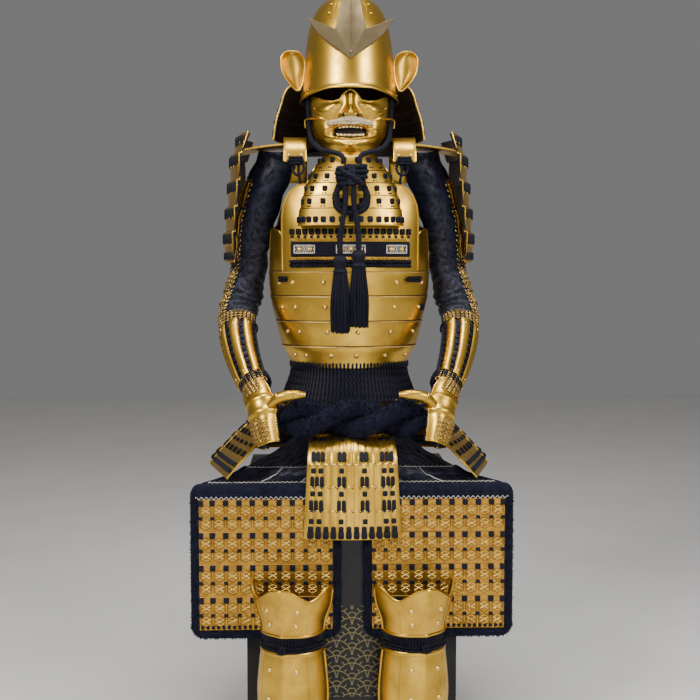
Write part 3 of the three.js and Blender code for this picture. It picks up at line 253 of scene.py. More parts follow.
# Hanging thigh cloth, and the field of scales upon it
THIGH = {"inner": 25, "outer": 337, "top": 586, "bottom": 278, "y": -221}
SCALES = {"inner": 42, "outer": 320, "top": 571, "bottom": 296, "y": -225.6}
SHIN_PLACE = (124, -262, 18)
SHIN_SPAN = (-90, 90)
SHIN = [
    (0, 56, 58),
    (60, 60, 62),
    (170, 73, 70),
    (250, 68, 66),
    (276.7, 64, 63),
    (293, 60, 59),
    (309.3, 64, 63),
    (335, 68, 67),
    (372, 80, 74),
    (433, 86, 76),
]
KNEE_TOP = [(0, 408), (14, 404), (28, 392), (40, 384), (52, 389), (66, 404), (80, 408), (90, 400)]


class ArmourLooks(bpy.types.PropertyGroup):
    """Colours of the armour."""

    gold: bpy.props.FloatVectorProperty(
        name="Gold", description="Gold lacquer of the plates", subtype="COLOR",
        default=(0.78, 0.49, 0.07),
    )
    gold_shade: bpy.props.FloatVectorProperty(
        name="Gold shade", description="Darker gold of the mottling", subtype="COLOR",
        default=(0.46, 0.26, 0.034),
    )
    navy: bpy.props.FloatVectorProperty(
        name="Navy", description="Silk of laces and cords", subtype="COLOR",
        default=(0.0018, 0.0022, 0.0085),
    )
    cloth: bpy.props.FloatVectorProperty(
        name="Cloth", description="Figured cloth of sleeves and thighs", subtype="COLOR",
        default=(0.0020, 0.0025, 0.0085),
    )


def looks():
    return bpy.context.scene.armour_looks


# Numbers along a table

def mix(a, b, share):
    return a + (b - a) * share


def clamp(value, low=0.0, high=1.0):
    return max(low, min(high, value))


def spread(start, end, count):
    return [mix(start, end, i / count) for i in range(count + 1)]


def hermite(rows, low, share, key):
    """Values between two rows of a table, on a smooth curve through the rows about them."""
    first, second = rows[low], rows[low + 1]
    before = rows[low - 1] if low else first
    after = rows[low + 2] if low + 2 < len(rows) else second
    gap = key(second) - key(first)
    ahead = [(c - a) * gap / (key(second) - key(before)) for a, c in zip(before, second)]
    behind = [(c - a) * gap / (key(after) - key(first)) for a, c in zip(first, after)]
    s2, s3 = share**2, share**3
    return tuple(
        (
            2 * s3 - 3 * s2 + 1
        ) * p + (s3 - 2 * s2 + share) * m + (3 * s2 - 2 * s3) * q + (s3 - s2) * n
        for p, q, m, n in zip(first, second, ahead, behind)
    )


def row_at(rows, value):
    """The row of a table at a value of its first column."""
    if rows[0][0] > rows[-1][0]:
        rows = rows[::-1]
    value = clamp(value, rows[0][0], rows[-1][0])
    low = next((i for i in range(len(rows) - 1) if value <= rows[i + 1][0]), len(rows) - 2)
    share = (value - rows[low][0]) / (rows[low + 1][0] - rows[low][0])
    return hermite(rows, low, share, lambda row: row[0])


def line_at(rows, value):
    """The second column of a table at a value of its first, on straight lines."""
    value = clamp(value, rows[0][0], rows[-1][0])
    low = next(i for i in range(len(rows) - 1) if value <= rows[i + 1][0])
    (x0, y0), (x1, y1) = rows[low], rows[low + 1]
    return mix(y0, y1, (value - x0) / (x1 - x0))


def step_at(rows, step):
    """The row of a table at a step along it, whole steps falling on its own rows."""
    low = int(clamp(math.floor(step), 0, len(rows) - 2))
    share = clamp(step - low)
    numbered = [(i, *row) for i, row in enumerate(rows)]
    return hermite(numbered, low, share, lambda row: row[0])[1:]


# Places on the forms, in millimetres

def sine(angle):
    return math.sin(math.radians(angle))


def cosine(angle):
    return math.cos(math.radians(angle))


def bell(value, wide):
    return math.exp(-((value / wide) ** 2))


def signed_power(value, power):
    return math.copysign(abs(value) ** power, value)


def torso_at(angle, z, out=0):
    _, half, front, back, square = row_at(TORSO, z)
    deep = front if cosine(angle) > 0 else back
    x = signed_power(sine(angle), square) * (half + out)
    return Vector((x, -signed_power(cosine(angle), square) * (deep + out), z))


def torso_angle(half, z, out):
    row = row_at(TORSO, z)
    share = min(1, half / (row[1] + out))
    return math.degrees(math.asin(share ** (1 / row[4])))


def dome_at(angle, share, out=0):
    rim = mix(RIM_SIDES, RIM_FRONT, clamp(1.25 * max(0, cosine(angle)) ** 2.2))
    start = row_at([(row[3], i) for i, row in enumerate(DOME[:4])], rim)[1]
    half, front, back, z = step_at(DOME, mix(start, len(DOME) - 1, share))
    deep = front if cosine(angle) > 0 else back
    point = Vector((half * sine(angle), -deep * cosine(angle), z))
    away = Vector((point.x, point.y, max(0, z - DOME_CENTRE)))
    return point + away.normalized() * out


def neck_at(angle, z, out=0):
    _, half, back = row_at(NECK, z)
    return Vector(((half + out) * sine(angle), -(back + out) * cosine(angle), z))


def throat_at(angle, z, out=0):
    _, half, side, front = row_at(THROAT, z)
    return Vector(
        ((half + out) * sine(angle), mix(side, front, cosine(angle)) - out * cosine(angle), z)
    )


def section_axes(tangent):
    front = (FRONT - tangent * FRONT.dot(tangent)).normalized()
    return front, tangent.cross(front)


def limb_place(rows):
    """Places on a limb: an angle round its centreline, a step along its table, a distance out."""

    def centre(step):
        return Vector(step_at(rows, clamp(step, 0, len(rows) - 1))[:3])

    def place(angle, step, out=0):
        near = 0.05
        tangent = (centre(step + near) - centre(step - near)).normalized()
        front, side = section_axes(tangent)
        reach = step_at(rows, step)[3] + out
        return centre(step) + front * (reach * cosine(angle)) + side * (reach * sine(angle))

    return place


arm_at = limb_place(ARM)
hand_at = limb_place(HAND)


def shoulder_at(y, z, out=0):
    share = (y - SHOULDER_SPAN[0]) / (SHOULDER_SPAN[1] - SHOULDER_SPAN[0])
    edge = line_at(SHOULDER[::-1], z)
    return Vector((edge + SHOULDER_BOW * (1 - (share * 2 - 1) ** 2) + out, y, z))


def lifted(base, facing):
    """Places over a base surface, moved out along the surface's own normal."""

    def place(u, v, out=0):
        here = base(u, v)
        if not out:
            return here
        near = 0.01
        across = base(u + near, v) - base(u - near, v)
        along = base(u, v + near) - base(u, v - near)
        normal = across.cross(along).normalized()
        return here + normal * (out if normal.dot(facing) > 0 else -out)

    return place


def tasset_base(share, step):
    z, y, half, bow = step_at(TASSET, step)
    return Vector((share * half, y + bow * share * share, z))


tasset_at = lifted(tasset_base, Vector((0, -1, 0.3)))


def side_tasset_place(start, end, near, far):
    def base(share, step):
        top = torso_at(mix(start, end, share), 762)
        top.z = 759.8
        point = top.lerp(Vector(near).lerp(Vector(far), share), step)
        point.z += 12 * math.sin(math.pi * clamp(step))
        return point

    return lifted(base, UP)


def lap_row(step):
    low = int(clamp(math.floor(step), 0, len(LAP) - 2))
    return [mix(a, b, step - low) for a, b in zip(LAP[low], LAP[low + 1])]


def lap_at(share, step, out=0):
    y, z, half = lap_row(step)
    after, before = lap_row(step + 0.2), lap_row(step - 0.2)
    normal = Vector((0, after[1] - before[1], before[0] - after[0])).normalized()
    return Vector((share * half, y, z)) + normal * out


def shin_at(angle, z, out=0):
    """A place on the viewer's right shin guard, in its own frame and then turned outwards."""
    _, half, deep = row_at(SHIN, z)
    ridge = 4 * bell(angle, 9) if out > 0.5 else 0
    point = Vector(((half + out) * sine(angle), -(deep + out + ridge) * cosine(angle), z))
    x, y, turn = SHIN_PLACE
    return Matrix.Rotation(math.radians(turn), 3, "Z") @ point + Vector((x, y, 0))


# Meshes on the forms

def lengths(points):
    """How far along its path each point lies."""
    run = [0.0]
    for a, b in zip(points, points[1:]):
        run.append(run[-1] + (b - a).length)
    return run


def form(columns, rows, place, thick=0, centre=None, ring=False, inside=0):
    """A panel on a form: a grid whose columns and rows lie where place puts them.

    rows holds (height, raise). The wall grows inwards, and its inner faces get material inside.
    """
    bm = bmesh.new()
    across, along = len(columns) - 1, len(rows) - 1
    bmesh.ops.create_grid(bm, x_segments=across, y_segments=along, size=0.5)
    spots = {}
    for vert in bm.verts:
        i, j = round((vert.co.x + 0.5) * across), round((vert.co.y + 0.5) * along)
        spots[vert] = (i, j)
        at, lift = rows[j]
        vert.co = place(columns[i], at, lift) * MM
    lay_cut(bm, spots, across, along)
    if ring:
        bmesh.ops.remove_doubles(bm, verts=bm.verts, dist=1e-6)
    middle = centre * MM if centre is not None else sum(
        (v.co for v in bm.verts), Vector(),
    ) / len(bm.verts)
    turned = sum(
        f.normal.dot(f.calc_center_median() - middle) * f.calc_area() for f in renewed(bm).faces
    )
    if turned < 0:
        bmesh.ops.reverse_faces(bm, faces=bm.faces)
    if thick:
        thicken(bm, thick * MM, inside)
    return bm


def renewed(bm):
    bm.normal_update()
    return bm


def lay_cut(bm, spots, across, along):
    """Lays the panel's pattern: its UV map in metres along the middle row and column."""
    by_spot = {spot: vert.co.copy() for vert, spot in spots.items()}
    mid_i, mid_j = across // 2, along // 2
    wide = lengths([by_spot[i, mid_j] for i in range(across + 1)])
    tall = lengths([by_spot[mid_i, j] for j in range(along + 1)])
    cut = bm.loops.layers.uv.new("cut")
    for face in bm.faces:
        for loop in face.loops:
            i, j = spots[loop.vert]
            loop[cut].uv = (wide[i], tall[j])


def thicken(bm, thick, inside=0):
    """Gives a panel its wall, inwards."""
    outer = set(bm.faces)
    bmesh.ops.solidify(bm, geom=list(bm.faces), thickness=thick)
    for face in bm.faces:
        if face not in outer:
            face.material_index = inside


def is_sharp(edge, least):
    return edge.is_manifold and edge.calc_face_angle(0) > math.radians(least)


def bevel(bm, edges, width, segments=1):
    bmesh.ops.bevel(
        bm, geom=edges, offset=width, segments=segments, profile=0.5,
        affect="EDGES", clamp_overlap=True, material=-1,
    )


def round_edges(bm, width, segments=1, least=SHARP):
    """Takes the sharp edges off a closed mesh."""
    renewed(bm)
    bevel(bm, [e for e in bm.edges if is_sharp(e, least)], width * MM, segments)


def smooth_by_angle(bm, least):
    renewed(bm)
    for face in bm.faces:
        face.smooth = True
    for edge in bm.edges:
        edge.smooth = not is_sharp(edge, least)


def solid(bm, name, finishes, node=None, least=SHARP):
    """Makes a piece of the armour from a bmesh and lets it ride on the frame.

    finishes names its finishes in order, and the first of them gives its slot.
    """
    smooth_by_angle(bm, least)
    mesh = bpy.data.meshes.new(name)
    bm.to_mesh(mesh)
    piece = bpy.data.objects.new(name, mesh)
    bpy.context.scene.collection.objects.link(piece)
    for finish in finishes.split():
        mesh.materials.append(FINISHES[finish])
    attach(piece, "root")
    if node:
        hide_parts(node)
    return piece


def mirrored(bm):
    other = bm.copy()
    for vert in other.verts:
        vert.co.x = -vert.co.x
    bmesh.ops.reverse_faces(other, faces=other.faces)
    return other


def pair(bm, name, finishes, node=None, least=SHARP):
    """Makes a piece and its mirror image, their names and nodes ending in right and left."""
    return [
        solid(half, f"{name}_{side}", finishes, f"{node}_{side}" if node else None, least)
        for side, half in (("right", bm), ("left", mirrored(bm)))
    ]


def seat(place, u, v, out=0, near=BY_UNIT):
    """A frame on a form in metres: X across, Y along, Z out."""
    here = place(u, v, out)
    normal = (place(u, v, out + 1) - place(u, v, out)).normalized()
    across = place(u + near[0], v, out) - place(u - near[0], v, out)
    across = (across - normal * across.dot(normal)).normalized()
    along = normal.cross(across)
    seated = Matrix((across, along, normal)).transposed().to_4x4()
    seated.translation = here * MM
    return seated


def sized(x, y, z):
    return Matrix.Diagonal((x * MM, y * MM, z * MM, 1))


def stamp(bm, shape, matrix, material=0):
    """Adds a copy of a small shape."""
    count = len(bm.faces)
    shape.transform(matrix)
    bm.from_mesh(shape)
    shape.transform(matrix.inverted())
    if material:
        bm.faces.ensure_lookup_table()
        for face in bm.faces[count:]:
            face.material_index = material


def shape_of(bm, name):
    mesh = bpy.data.meshes.new(name)
    bm.to_mesh(mesh)
    bm.free()
    return mesh


def pad_shape():
    """A flat lace or pad, one unit each way, crowned and standing on its underside."""
    bm = bmesh.new()
    bmesh.ops.create_cube(bm, size=1, matrix=Matrix.Translation((0, 0, 0.5)))
    top = [e for e in bm.edges if all(v.co.z > 0.5 for v in e.verts)]
    sides = [e for e in bm.edges if e.verts[0].co.z * e.verts[1].co.z == 0 and e not in top]
    upright = [e for e in sides if abs(e.verts[0].co.z - e.verts[1].co.z) > 0.5]
    bevel(bm, top + upright, 0.16)
    return shape_of(bm, "pad")


def bead_shape(sides=10, rings=4):
    """A low dome of one unit radius, as a rivet's head."""
    bm = bmesh.new()
    bmesh.ops.create_uvsphere(bm, u_segments=sides, v_segments=rings * 2, radius=1)
    bmesh.ops.bisect_plane(
        bm, geom=bm.verts[:] + bm.edges[:] + bm.faces[:], dist=1e-5,
        plane_co=(0, 0, -0.05), plane_no=(0, 0, -1), clear_outer=True,
    )
    rim = [e for e in bm.edges if e.is_boundary]
    bmesh.ops.contextual_create(bm, geom=rim)
    return shape_of(bm, "bead")


def link_shape():
    """One ring of mail, one unit across."""
    bm = bmesh.new()
    bmesh.ops.create_circle(bm, segments=4, radius=0.13, cap_ends=False)
    bmesh.ops.rotate(
        bm, verts=bm.verts, matrix=Matrix.Rotation(math.pi / 2, 3, "X"), cent=(0, 0, 0),
    )
    bmesh.ops.translate(bm, verts=bm.verts, vec=(0.5, 0, 0))
    bmesh.ops.spin(
        bm, geom=bm.verts[:] + bm.edges[:], cent=(0, 0, 0), axis=(0, 0, 1),
        angle=math.tau, steps=6, use_merge=True,
    )
    bmesh.ops.recalc_face_normals(bm, faces=bm.faces)
    return shape_of(bm, "link")


def strands(paths, radius, sides=1, taper=None):
    """Thin round strands along paths of points in millimetres, as one bmesh.

    sides is the curve's bevel resolution; taper gives a strand's thickness by its share.
    """
    curve = bpy.data.curves.new("strands", "CURVE")
    curve.dimensions = "3D"
    curve.bevel_depth = radius * MM
    curve.bevel_resolution = sides
    curve.use_fill_caps = True
    for path in paths:
        spline = curve.splines.new("POLY")
        spline.points.add(len(path) - 1)
        for k, (spot, point) in enumerate(zip(spline.points, path)):
            spot.co = (*(Vector(point) * MM), 1)
            spot.radius = taper(k / (len(path) - 1)) if taper else 1
    holder = bpy.data.objects.new("strands", curve)
    mesh = bpy.data.meshes.new_from_object(holder)
    bm = bmesh.new()
    bm.from_mesh(mesh)
    bpy.data.meshes.remove(mesh)
    bpy.data.objects.remove(holder)
    bpy.data.curves.remove(curve)
    return bm


def added(bm, other, material=0):
    """Adds another bmesh to this one."""
    mesh = shape_of(other, "added")
    stamp(bm, mesh, Matrix(), material)
    bpy.data.meshes.remove(mesh)
    return bm


def ring_path(x, y, z, wide, deep, count):
    turns = spread(0, math.tau, count)
    return [Vector((x + wide * math.cos(t), y + deep * math.sin(t), z)) for t in turns]


def smooth_path(points, count):
    """Evenly spaced points on a smooth curve through a few."""
    rows = [tuple(p) for p in points]
    dense = [Vector(step_at(rows, s)) for s in spread(0, len(rows) - 1, count * 6)]
    run = lengths(dense)
    made = []
    for goal in spread(0, run[-1], count):
        k = next((i for i in range(1, len(run)) if run[i] >= goal - 1e-9), len(run) - 1)
        share = clamp((goal - run[k - 1]) / max(1e-9, run[k] - run[k - 1]))
        made.append(dense[k - 1].lerp(dense[k], share))
    return made


def braid(points, radius, pitch, count=8):
    """A round braid of silk strands over a path: half wind one way and half the other."""
    run = lengths(points)
    paths = []
    for k in range(count):
        way = 1 if k % 2 else -1
        path = []
        for i, point in enumerate(points):
            tangent = (points[min(i + 1, len(points) - 1)] - points[max(i - 1, 0)]).normalized()
            first, second = section_axes(tangent)
            turn = way * run[i] / pitch * 2 * math.pi + k * 2 * math.pi / count
            over = 0.66 + 0.13 * math.cos(turn * count / 2)
            path.append(
                point + (first * math.cos(turn) + second * math.sin(turn)) * (radius * over)
            )
        paths.append(path)
    return strands(paths, radius * 0.36, 1)


# Finishes

def open_group(name, inputs, outputs):
    """A shader node group with named sockets; gives its tree and its input and output node."""
    tree = bpy.data.node_groups.new(name, "ShaderNodeTree")
    for label, kind, default in inputs:
        made = tree.interface.new_socket(label, in_out="INPUT", socket_type=kind)
        if default is not None:
            made.default_value = default
    for label, kind in outputs:
        tree.interface.new_socket(label, in_out="OUTPUT", socket_type=kind)
    return tree, tree.nodes.new("NodeGroupInput"), tree.nodes.new("NodeGroupOutput")


def add_node(tree, kind, settings=None, links=None, **values):
    """Adds a node; values fill its sockets by name and links join sockets to them."""
    made = tree.nodes.new(kind)
    for key, value in (settings or {}).items():
        setattr(made, key, value)
    for key, value in values.items():
        made.inputs[key.replace("_", " ")].default_value = value
    for key, source in (links or {}).items():
        tree.links.new(source, made.inputs[key])
    return made


def calc(tree, operation, first, second):
    made = add_node(tree, "ShaderNodeMath", {"operation": operation})
    for socket, value in zip(made.inputs, (first, second)):
        if isinstance(value, (int, float)):
            socket.default_value = value
        else:
            tree.links.new(value, socket)
    return made.outputs[0]


def mottle_group():
    """Soft clouding with fine grain, as of lacquer over leaf."""
    tree, given, put = open_group(
        "mottle",
        [
            ("Vector", "NodeSocketVector", None), ("Scale", "NodeSocketFloat", 20.0),
            ("Grain", "NodeSocketFloat", 500.0),
        ],
        [("Mask", "NodeSocketFloat"), ("Height", "NodeSocketFloat")],
    )
    cloud = add_node(
        tree, "ShaderNodeTexNoise",
        links={"Vector": given.outputs["Vector"], "Scale": given.outputs["Scale"]},
        Detail=5.0, Roughness=0.6,
    )
    grain = add_node(
        tree, "ShaderNodeTexNoise",
        links={"Vector": given.outputs["Vector"], "Scale": given.outputs["Grain"]},
        Detail=2.0, Roughness=0.5,
    )
    edge = add_node(
        tree, "ShaderNodeMapRange", links={"Value": cloud.outputs["Fac"]}, From_Min=0.38,
        From_Max=0.68,
    )
    both = calc(tree, "MULTIPLY_ADD", grain.outputs["Fac"], 0.5)
    tree.links.new(edge.outputs["Result"], both.node.inputs[2])
    mask = calc(tree, "MULTIPLY", both, 0.72)
    tree.links.new(mask, put.inputs["Mask"])
    tree.links.new(grain.outputs["Fac"], put.inputs["Height"])
    return tree


def weave_group():
    """Over and under threads along a pattern's two ways."""
    tree, given, put = open_group(
        "weave",
        [("Vector", "NodeSocketVector", None), ("Threads", "NodeSocketFloat", 900.0)],
        [("Mask", "NodeSocketFloat"), ("Height", "NodeSocketFloat")],
    )
    bands = []
    for way in ("X", "Y"):
        wave = add_node(
            tree, "ShaderNodeTexWave", {"bands_direction": way},
            {"Vector": given.outputs["Vector"], "Scale": given.outputs["Threads"]},
            Distortion=0.6, Detail=1.0, Detail_Scale=2.0,
        )
        bands.append(wave.outputs["Fac"])
    height = calc(tree, "MAXIMUM", *bands)
    tree.links.new(height, put.inputs["Height"])
    tree.links.new(calc(tree, "MULTIPLY", *bands), put.inputs["Mask"])
    return tree


def figure_group():
    """The figures of a damask: leafy rounds with veins between them."""
    tree, given, put = open_group(
        "figure",
        [("Vector", "NodeSocketVector", None), ("Scale", "NodeSocketFloat", 22.0)],
        [("Mask", "NodeSocketFloat")],
    )
    warp = add_node(
        tree, "ShaderNodeTexNoise", links={"Vector": given.outputs["Vector"]}, Scale=18.0,
        Detail=2.0,
    )
    shift = add_node(
        tree, "ShaderNodeVectorMath", {"operation": "SCALE"}, {0: warp.outputs["Color"]},
        Scale=0.02,
    )
    bent = add_node(
        tree, "ShaderNodeVectorMath", {"operation": "ADD"},
        {0: given.outputs["Vector"], 1: shift.outputs["Vector"]},
    )
    rounds = add_node(
        tree, "ShaderNodeTexVoronoi", {"feature": "F1"},
        {"Vector": bent.outputs["Vector"], "Scale": given.outputs["Scale"]}, Randomness=0.25,
    )
    veins = add_node(
        tree, "ShaderNodeTexWave", {"wave_type": "RINGS", "rings_direction": "Z"},
        {"Vector": bent.outputs["Vector"]}, Scale=14.0, Distortion=9.0, Detail=2.0,
        Detail_Scale=1.6,
    )
    ring = calc(tree, "PINGPONG", rounds.outputs["Distance"], 0.16)
    ring = calc(tree, "GREATER_THAN", ring, 0.085)
    vein = calc(tree, "GREATER_THAN", veins.outputs["Fac"], 0.62)
    both = calc(tree, "ADD", calc(tree, "MULTIPLY", ring, 0.6), calc(tree, "MULTIPLY", vein, 0.5))
    capped = calc(tree, "MINIMUM", both, 1.0)
    tree.links.new(capped, put.inputs["Mask"])
    return tree


def wave_group():
    """The traditional overlapping waves: rows of half rings, each row half a wave on."""
    tree, given, put = open_group(
        "overlapping_waves",
        [("Vector", "NodeSocketVector", None), ("Size", "NodeSocketFloat", 0.04)],
        [("Mask", "NodeSocketFloat")],
    )
    parts = add_node(tree, "ShaderNodeSeparateXYZ", links={"Vector": given.outputs["Vector"]})
    size = given.outputs["Size"]
    reach = None
    for row in (0, 1):
        across = calc(tree, "DIVIDE", parts.outputs["X"], size)
        across = calc(tree, "ADD", across, 0.5 * row)
        across = calc(tree, "SUBTRACT", calc(tree, "FRACT", across, 0), 0.5)
        up = calc(tree, "DIVIDE", parts.outputs["Z"], calc(tree, "MULTIPLY", size, 0.5))
        up = calc(tree, "ADD", up, 0.5 * row)
        up = calc(tree, "MULTIPLY", calc(tree, "FRACT", up, 0), 0.5)
        squared = calc(
            tree, "ADD", calc(tree, "MULTIPLY", across, across), calc(tree, "MULTIPLY", up, up),
        )
        distance = calc(tree, "SQRT", squared, 0)
        inside = calc(tree, "LESS_THAN", distance, 0.5)
        wave = calc(tree, "MULTIPLY", distance, inside)
        reach = wave if reach is None else calc(tree, "MAXIMUM", reach, wave)
    rings = calc(tree, "FRACT", calc(tree, "MULTIPLY", reach, 6.0), 0)
    tree.links.new(calc(tree, "GREATER_THAN", rings, 0.8), put.inputs["Mask"])
    return tree


GROUPS = {}


def place_group(tree, name, vector, **values):
    makers = {
        "mottle": mottle_group, "weave": weave_group, "figure": figure_group, "waves": wave_group,
    }
    if name not in GROUPS:
        GROUPS[name] = makers[name]()
    made = tree.nodes.new("ShaderNodeGroup")
    made.node_tree = GROUPS[name]
    tree.links.new(vector, made.inputs["Vector"])
    for key, value in values.items():
        made.inputs[key].default_value = value
    return made


def open_material(name, **values):
    """A material with its shader's even values; gives material, tree, shader, coordinates."""
    material = bpy.data.materials.new(name)
    material.use_nodes = True
    tree = material.node_tree
    shader = next(n for n in tree.nodes if n.type == "BSDF_PRINCIPLED")
    for key, value in values.items():
        shader.inputs[key.replace("_", " ")].default_value = value
    coordinates = tree.nodes.new("ShaderNodeTexCoord")
    return material, tree, shader, coordinates


def blend_colours(tree, mask, first, second):
    made = add_node(tree, "ShaderNodeMix", {"data_type": "RGBA"})
    tree.links.new(mask, made.inputs["Factor"])
    made.inputs[6].default_value = (*first, 1)
    made.inputs[7].default_value = (*second, 1)
    return made.outputs[2]


def ranged(tree, mask, low, high):
    made = add_node(tree, "ShaderNodeMapRange", links={"Value": mask}, To_Min=low, To_Max=high)
    return made.outputs["Result"]


def bumped(tree, shader, height, strength, distance):
    bump = add_node(
        tree, "ShaderNodeBump", links={"Height": height}, Strength=strength, Distance=distance,
    )
    tree.links.new(bump.outputs["Normal"], shader.inputs["Normal"])


def surface(name, group, vector, pattern, colours, rough=None, bump=None, **values):
    """A material clouded by one pattern: its two colours, its roughness and its relief."""
    material, tree, shader, at = open_material(name, **values)
    clouding = place_group(tree, group, at.outputs[vector], **pattern)
    mask = clouding.outputs["Mask"]
    tree.links.new(blend_colours(tree, mask, *colours), shader.inputs["Base Color"])
    if rough:
        tree.links.new(ranged(tree, mask, *rough), shader.inputs["Roughness"])
    if bump:
        bumped(tree, shader, clouding.outputs["Height"], *bump)
    return material


def metal(name, bright, dark, rough, scale=18.0, grain=420.0):
    """Gilt or wire, clouded between a bright and a dark colour."""
    return surface(
        name, "mottle", "Object", {"Scale": scale, "Grain": grain}, (bright, dark),
        (rough - 0.07, rough + 0.12), (0.25, 0.0006), Metallic=1.0,
    )


def silk(name, colour, threads, vector="UV", sheen=0.05, rough=0.6, lift=2.6):
    """Braided or woven silk: threads per metre, and the colour of its lit threads."""
    lit = tuple(min(1, c * lift + 0.001) for c in colour)
    return surface(
        name, "weave", vector, {"Threads": threads}, (colour, lit),
        (rough, rough - 0.12), (0.6, 0.0008), Metallic=0.0, Specular_IOR_Level=0.25,
        Sheen_Weight=sheen, Sheen_Roughness=0.35, Sheen_Tint=(0.2, 0.23, 0.4, 1),
    )


def damask(name, colour):
    """Dark figured silk, its figures a little brighter and smoother than the ground."""
    material, tree, shader, at = open_material(
        name, Metallic=0.0, Specular_IOR_Level=0.4, Sheen_Weight=0.04, Sheen_Roughness=0.3,
        Sheen_Tint=(0.25, 0.28, 0.45, 1),
    )
    figure = place_group(tree, "figure", at.outputs["UV"], Scale=22.0)
    weave = place_group(tree, "weave", at.outputs["UV"], Threads=260.0)
    mask = figure.outputs["Mask"]
    bright = tuple(c * 4 + 0.006 for c in colour)
    tree.links.new(blend_colours(tree, mask, colour, bright), shader.inputs["Base Color"])
    tree.links.new(ranged(tree, mask, 0.72, 0.36), shader.inputs["Roughness"])
    height = calc(tree, "ADD", mask, calc(tree, "MULTIPLY", weave.outputs["Height"], 0.25))
    bumped(tree, shader, height, 0.7, 0.0009)
    return material


def plush(name, colour):
    """Dark fur: dull, with a faint sheen, clumped hairs and specks of painted highlight."""
    # lit is painted highlight: the mottle scatters grey-blue specks of light in this brighter
    # colour over the fur.
    lit = tuple(c * 7 + 0.001 for c in colour)
    return surface(
        name, "mottle", "Object", {"Scale": 90.0, "Grain": 1400.0}, (colour, lit),
        None, (1.0, 0.003), Metallic=0.0, Roughness=0.95, Specular_IOR_Level=0.2,
        Sheen_Weight=0.1, Sheen_Roughness=0.5, Sheen_Tint=(0.16, 0.19, 0.34, 1),
    )


LACQUER = {"Specular_IOR_Level": 0.2, "Coat_Weight": 0.12, "Coat_Roughness": 0.2}
LACQUER_CLOUDS = {"Scale": 9.0, "Grain": 260.0}
BLACK = (0.005, 0.0045, 0.0045)
WAVES = {"size": 0.066, "half": 0.066, "bottom": 0.14, "top": 0.338, "front": -0.15}


def lacquer(name, colour):
    """Dark lacquer with faint clouding."""
    return surface(
        name, "mottle", "Object", LACQUER_CLOUDS, (colour, lacquer_lit(colour)),
        (0.34, 0.5), (0.08, 0.0006), **LACQUER,
    )


def lacquer_lit(colour):
    return tuple(c * 2 + 0.004 for c in colour)


def wave_lacquer(name, colour, gold):
    """The chest's lacquer with a panel of overlapping waves in gold on its front."""
    material, tree, shader, at = open_material(name, **LACQUER)
    spot = at.outputs["Object"]
    mottle = place_group(tree, "mottle", spot, **LACQUER_CLOUDS)
    ground = blend_colours(tree, mottle.outputs["Mask"], colour, lacquer_lit(colour))
    waves = place_group(tree, "waves", spot, Size=WAVES["size"])
    at_xyz = add_node(tree, "ShaderNodeSeparateXYZ", links={"Vector": spot}).outputs
    mask = waves.outputs["Mask"]
    for operation, value, limit in (
        ("LESS_THAN", calc(tree, "ABSOLUTE", at_xyz["X"], 0), WAVES["half"]),
        ("GREATER_THAN", at_xyz["Z"], WAVES["bottom"]),
        ("LESS_THAN", at_xyz["Z"], WAVES["top"]),
        ("LESS_THAN", at_xyz["Y"], WAVES["front"]),
    ):
        mask = calc(tree, "MULTIPLY", mask, calc(tree, operation, value, limit))
    over = add_node(tree, "ShaderNodeMix", {"data_type": "RGBA"}, {"Factor": mask})
    tree.links.new(ground, over.inputs[6])
    over.inputs[7].default_value = (*gold, 1)
    tree.links.new(over.outputs[2], shader.inputs["Base Color"])
    tree.links.new(mask, shader.inputs["Metallic"])
    tree.links.new(ranged(tree, mask, 0.38, 0.5), shader.inputs["Roughness"])
    bumped(tree, shader, mask, 0.3, 0.0004)
    return material


FINISHES = {}


def make_finishes():
    """Every finish of the armour, by the name that its pieces use."""
    chosen = looks()
    gold, shade, navy, cloth = (
        tuple(c) for c in (chosen.gold, chosen.gold_shade, chosen.navy, chosen.cloth)
    )
    FINISHES.update(
        gilt=metal("gilt_lacquer", gold, shade, 0.34),
        gilt_scale=metal("gilt_scales", (0.56, 0.31, 0.055), (0.32, 0.16, 0.025), 0.38, scale=60.0),
        rivet=metal("rivet_gilt", (0.95, 0.70, 0.26), (0.7, 0.46, 0.14), 0.34, scale=120.0),
        wire=metal("pale_wire", (0.8, 0.57, 0.17), (0.6, 0.4, 0.1), 0.45, scale=200.0),
        crest=metal(
            "crest_bronze", (0.21, 0.165, 0.095), (0.12, 0.09, 0.05), 0.42, scale=14.0, grain=700.0,
        ),
        mail=metal("mail_wire", (0.62, 0.42, 0.13), (0.2, 0.13, 0.05), 0.4, scale=90.0),
        inside=lacquer("inner_lacquer", (0.02, 0.012, 0.009)),
        mouth=lacquer("mouth_lacquer", (0.006, 0.002, 0.0015)),
        tooth=metal("pale_gilt", (0.92, 0.74, 0.42), (0.72, 0.52, 0.24), 0.24, scale=200.0),
        lace=silk("flat_lace", navy, 620.0),
        cord=silk("silk_cord", navy, 420.0, "Object"),
        cloth=damask("figured_cloth", cloth),
        plush=plush("dark_plush", (0.0012, 0.0015, 0.0048)),
        hair=surface(
            "white_hair", "mottle", "Object", {"Scale": 160.0, "Grain": 900.0},
            ((0.74, 0.62, 0.44), (0.46, 0.37, 0.24)), (0.5, 0.7), Metallic=0.0, Sheen_Weight=0.2,
        ),
        stitch=silk("white_stitch", (0.62, 0.6, 0.55), 900.0, "Object", 0.1, 0.8, 1.3),
        lacquer=lacquer("black_lacquer", BLACK),
        waves=wave_lacquer("wave_lacquer", BLACK, (0.22, 0.17, 0.08)),
        wood=lacquer("stained_wood", (0.018, 0.011, 0.008)),
        floor=surface(
            "pale_floor", "mottle", "Object", {"Scale": 3.0, "Grain": 60.0},
            ((0.78, 0.77, 0.75), (0.72, 0.71, 0.69)), Roughness=0.75,
        ),
    )


# Stage: each light's name, place, aim, power, size and colour

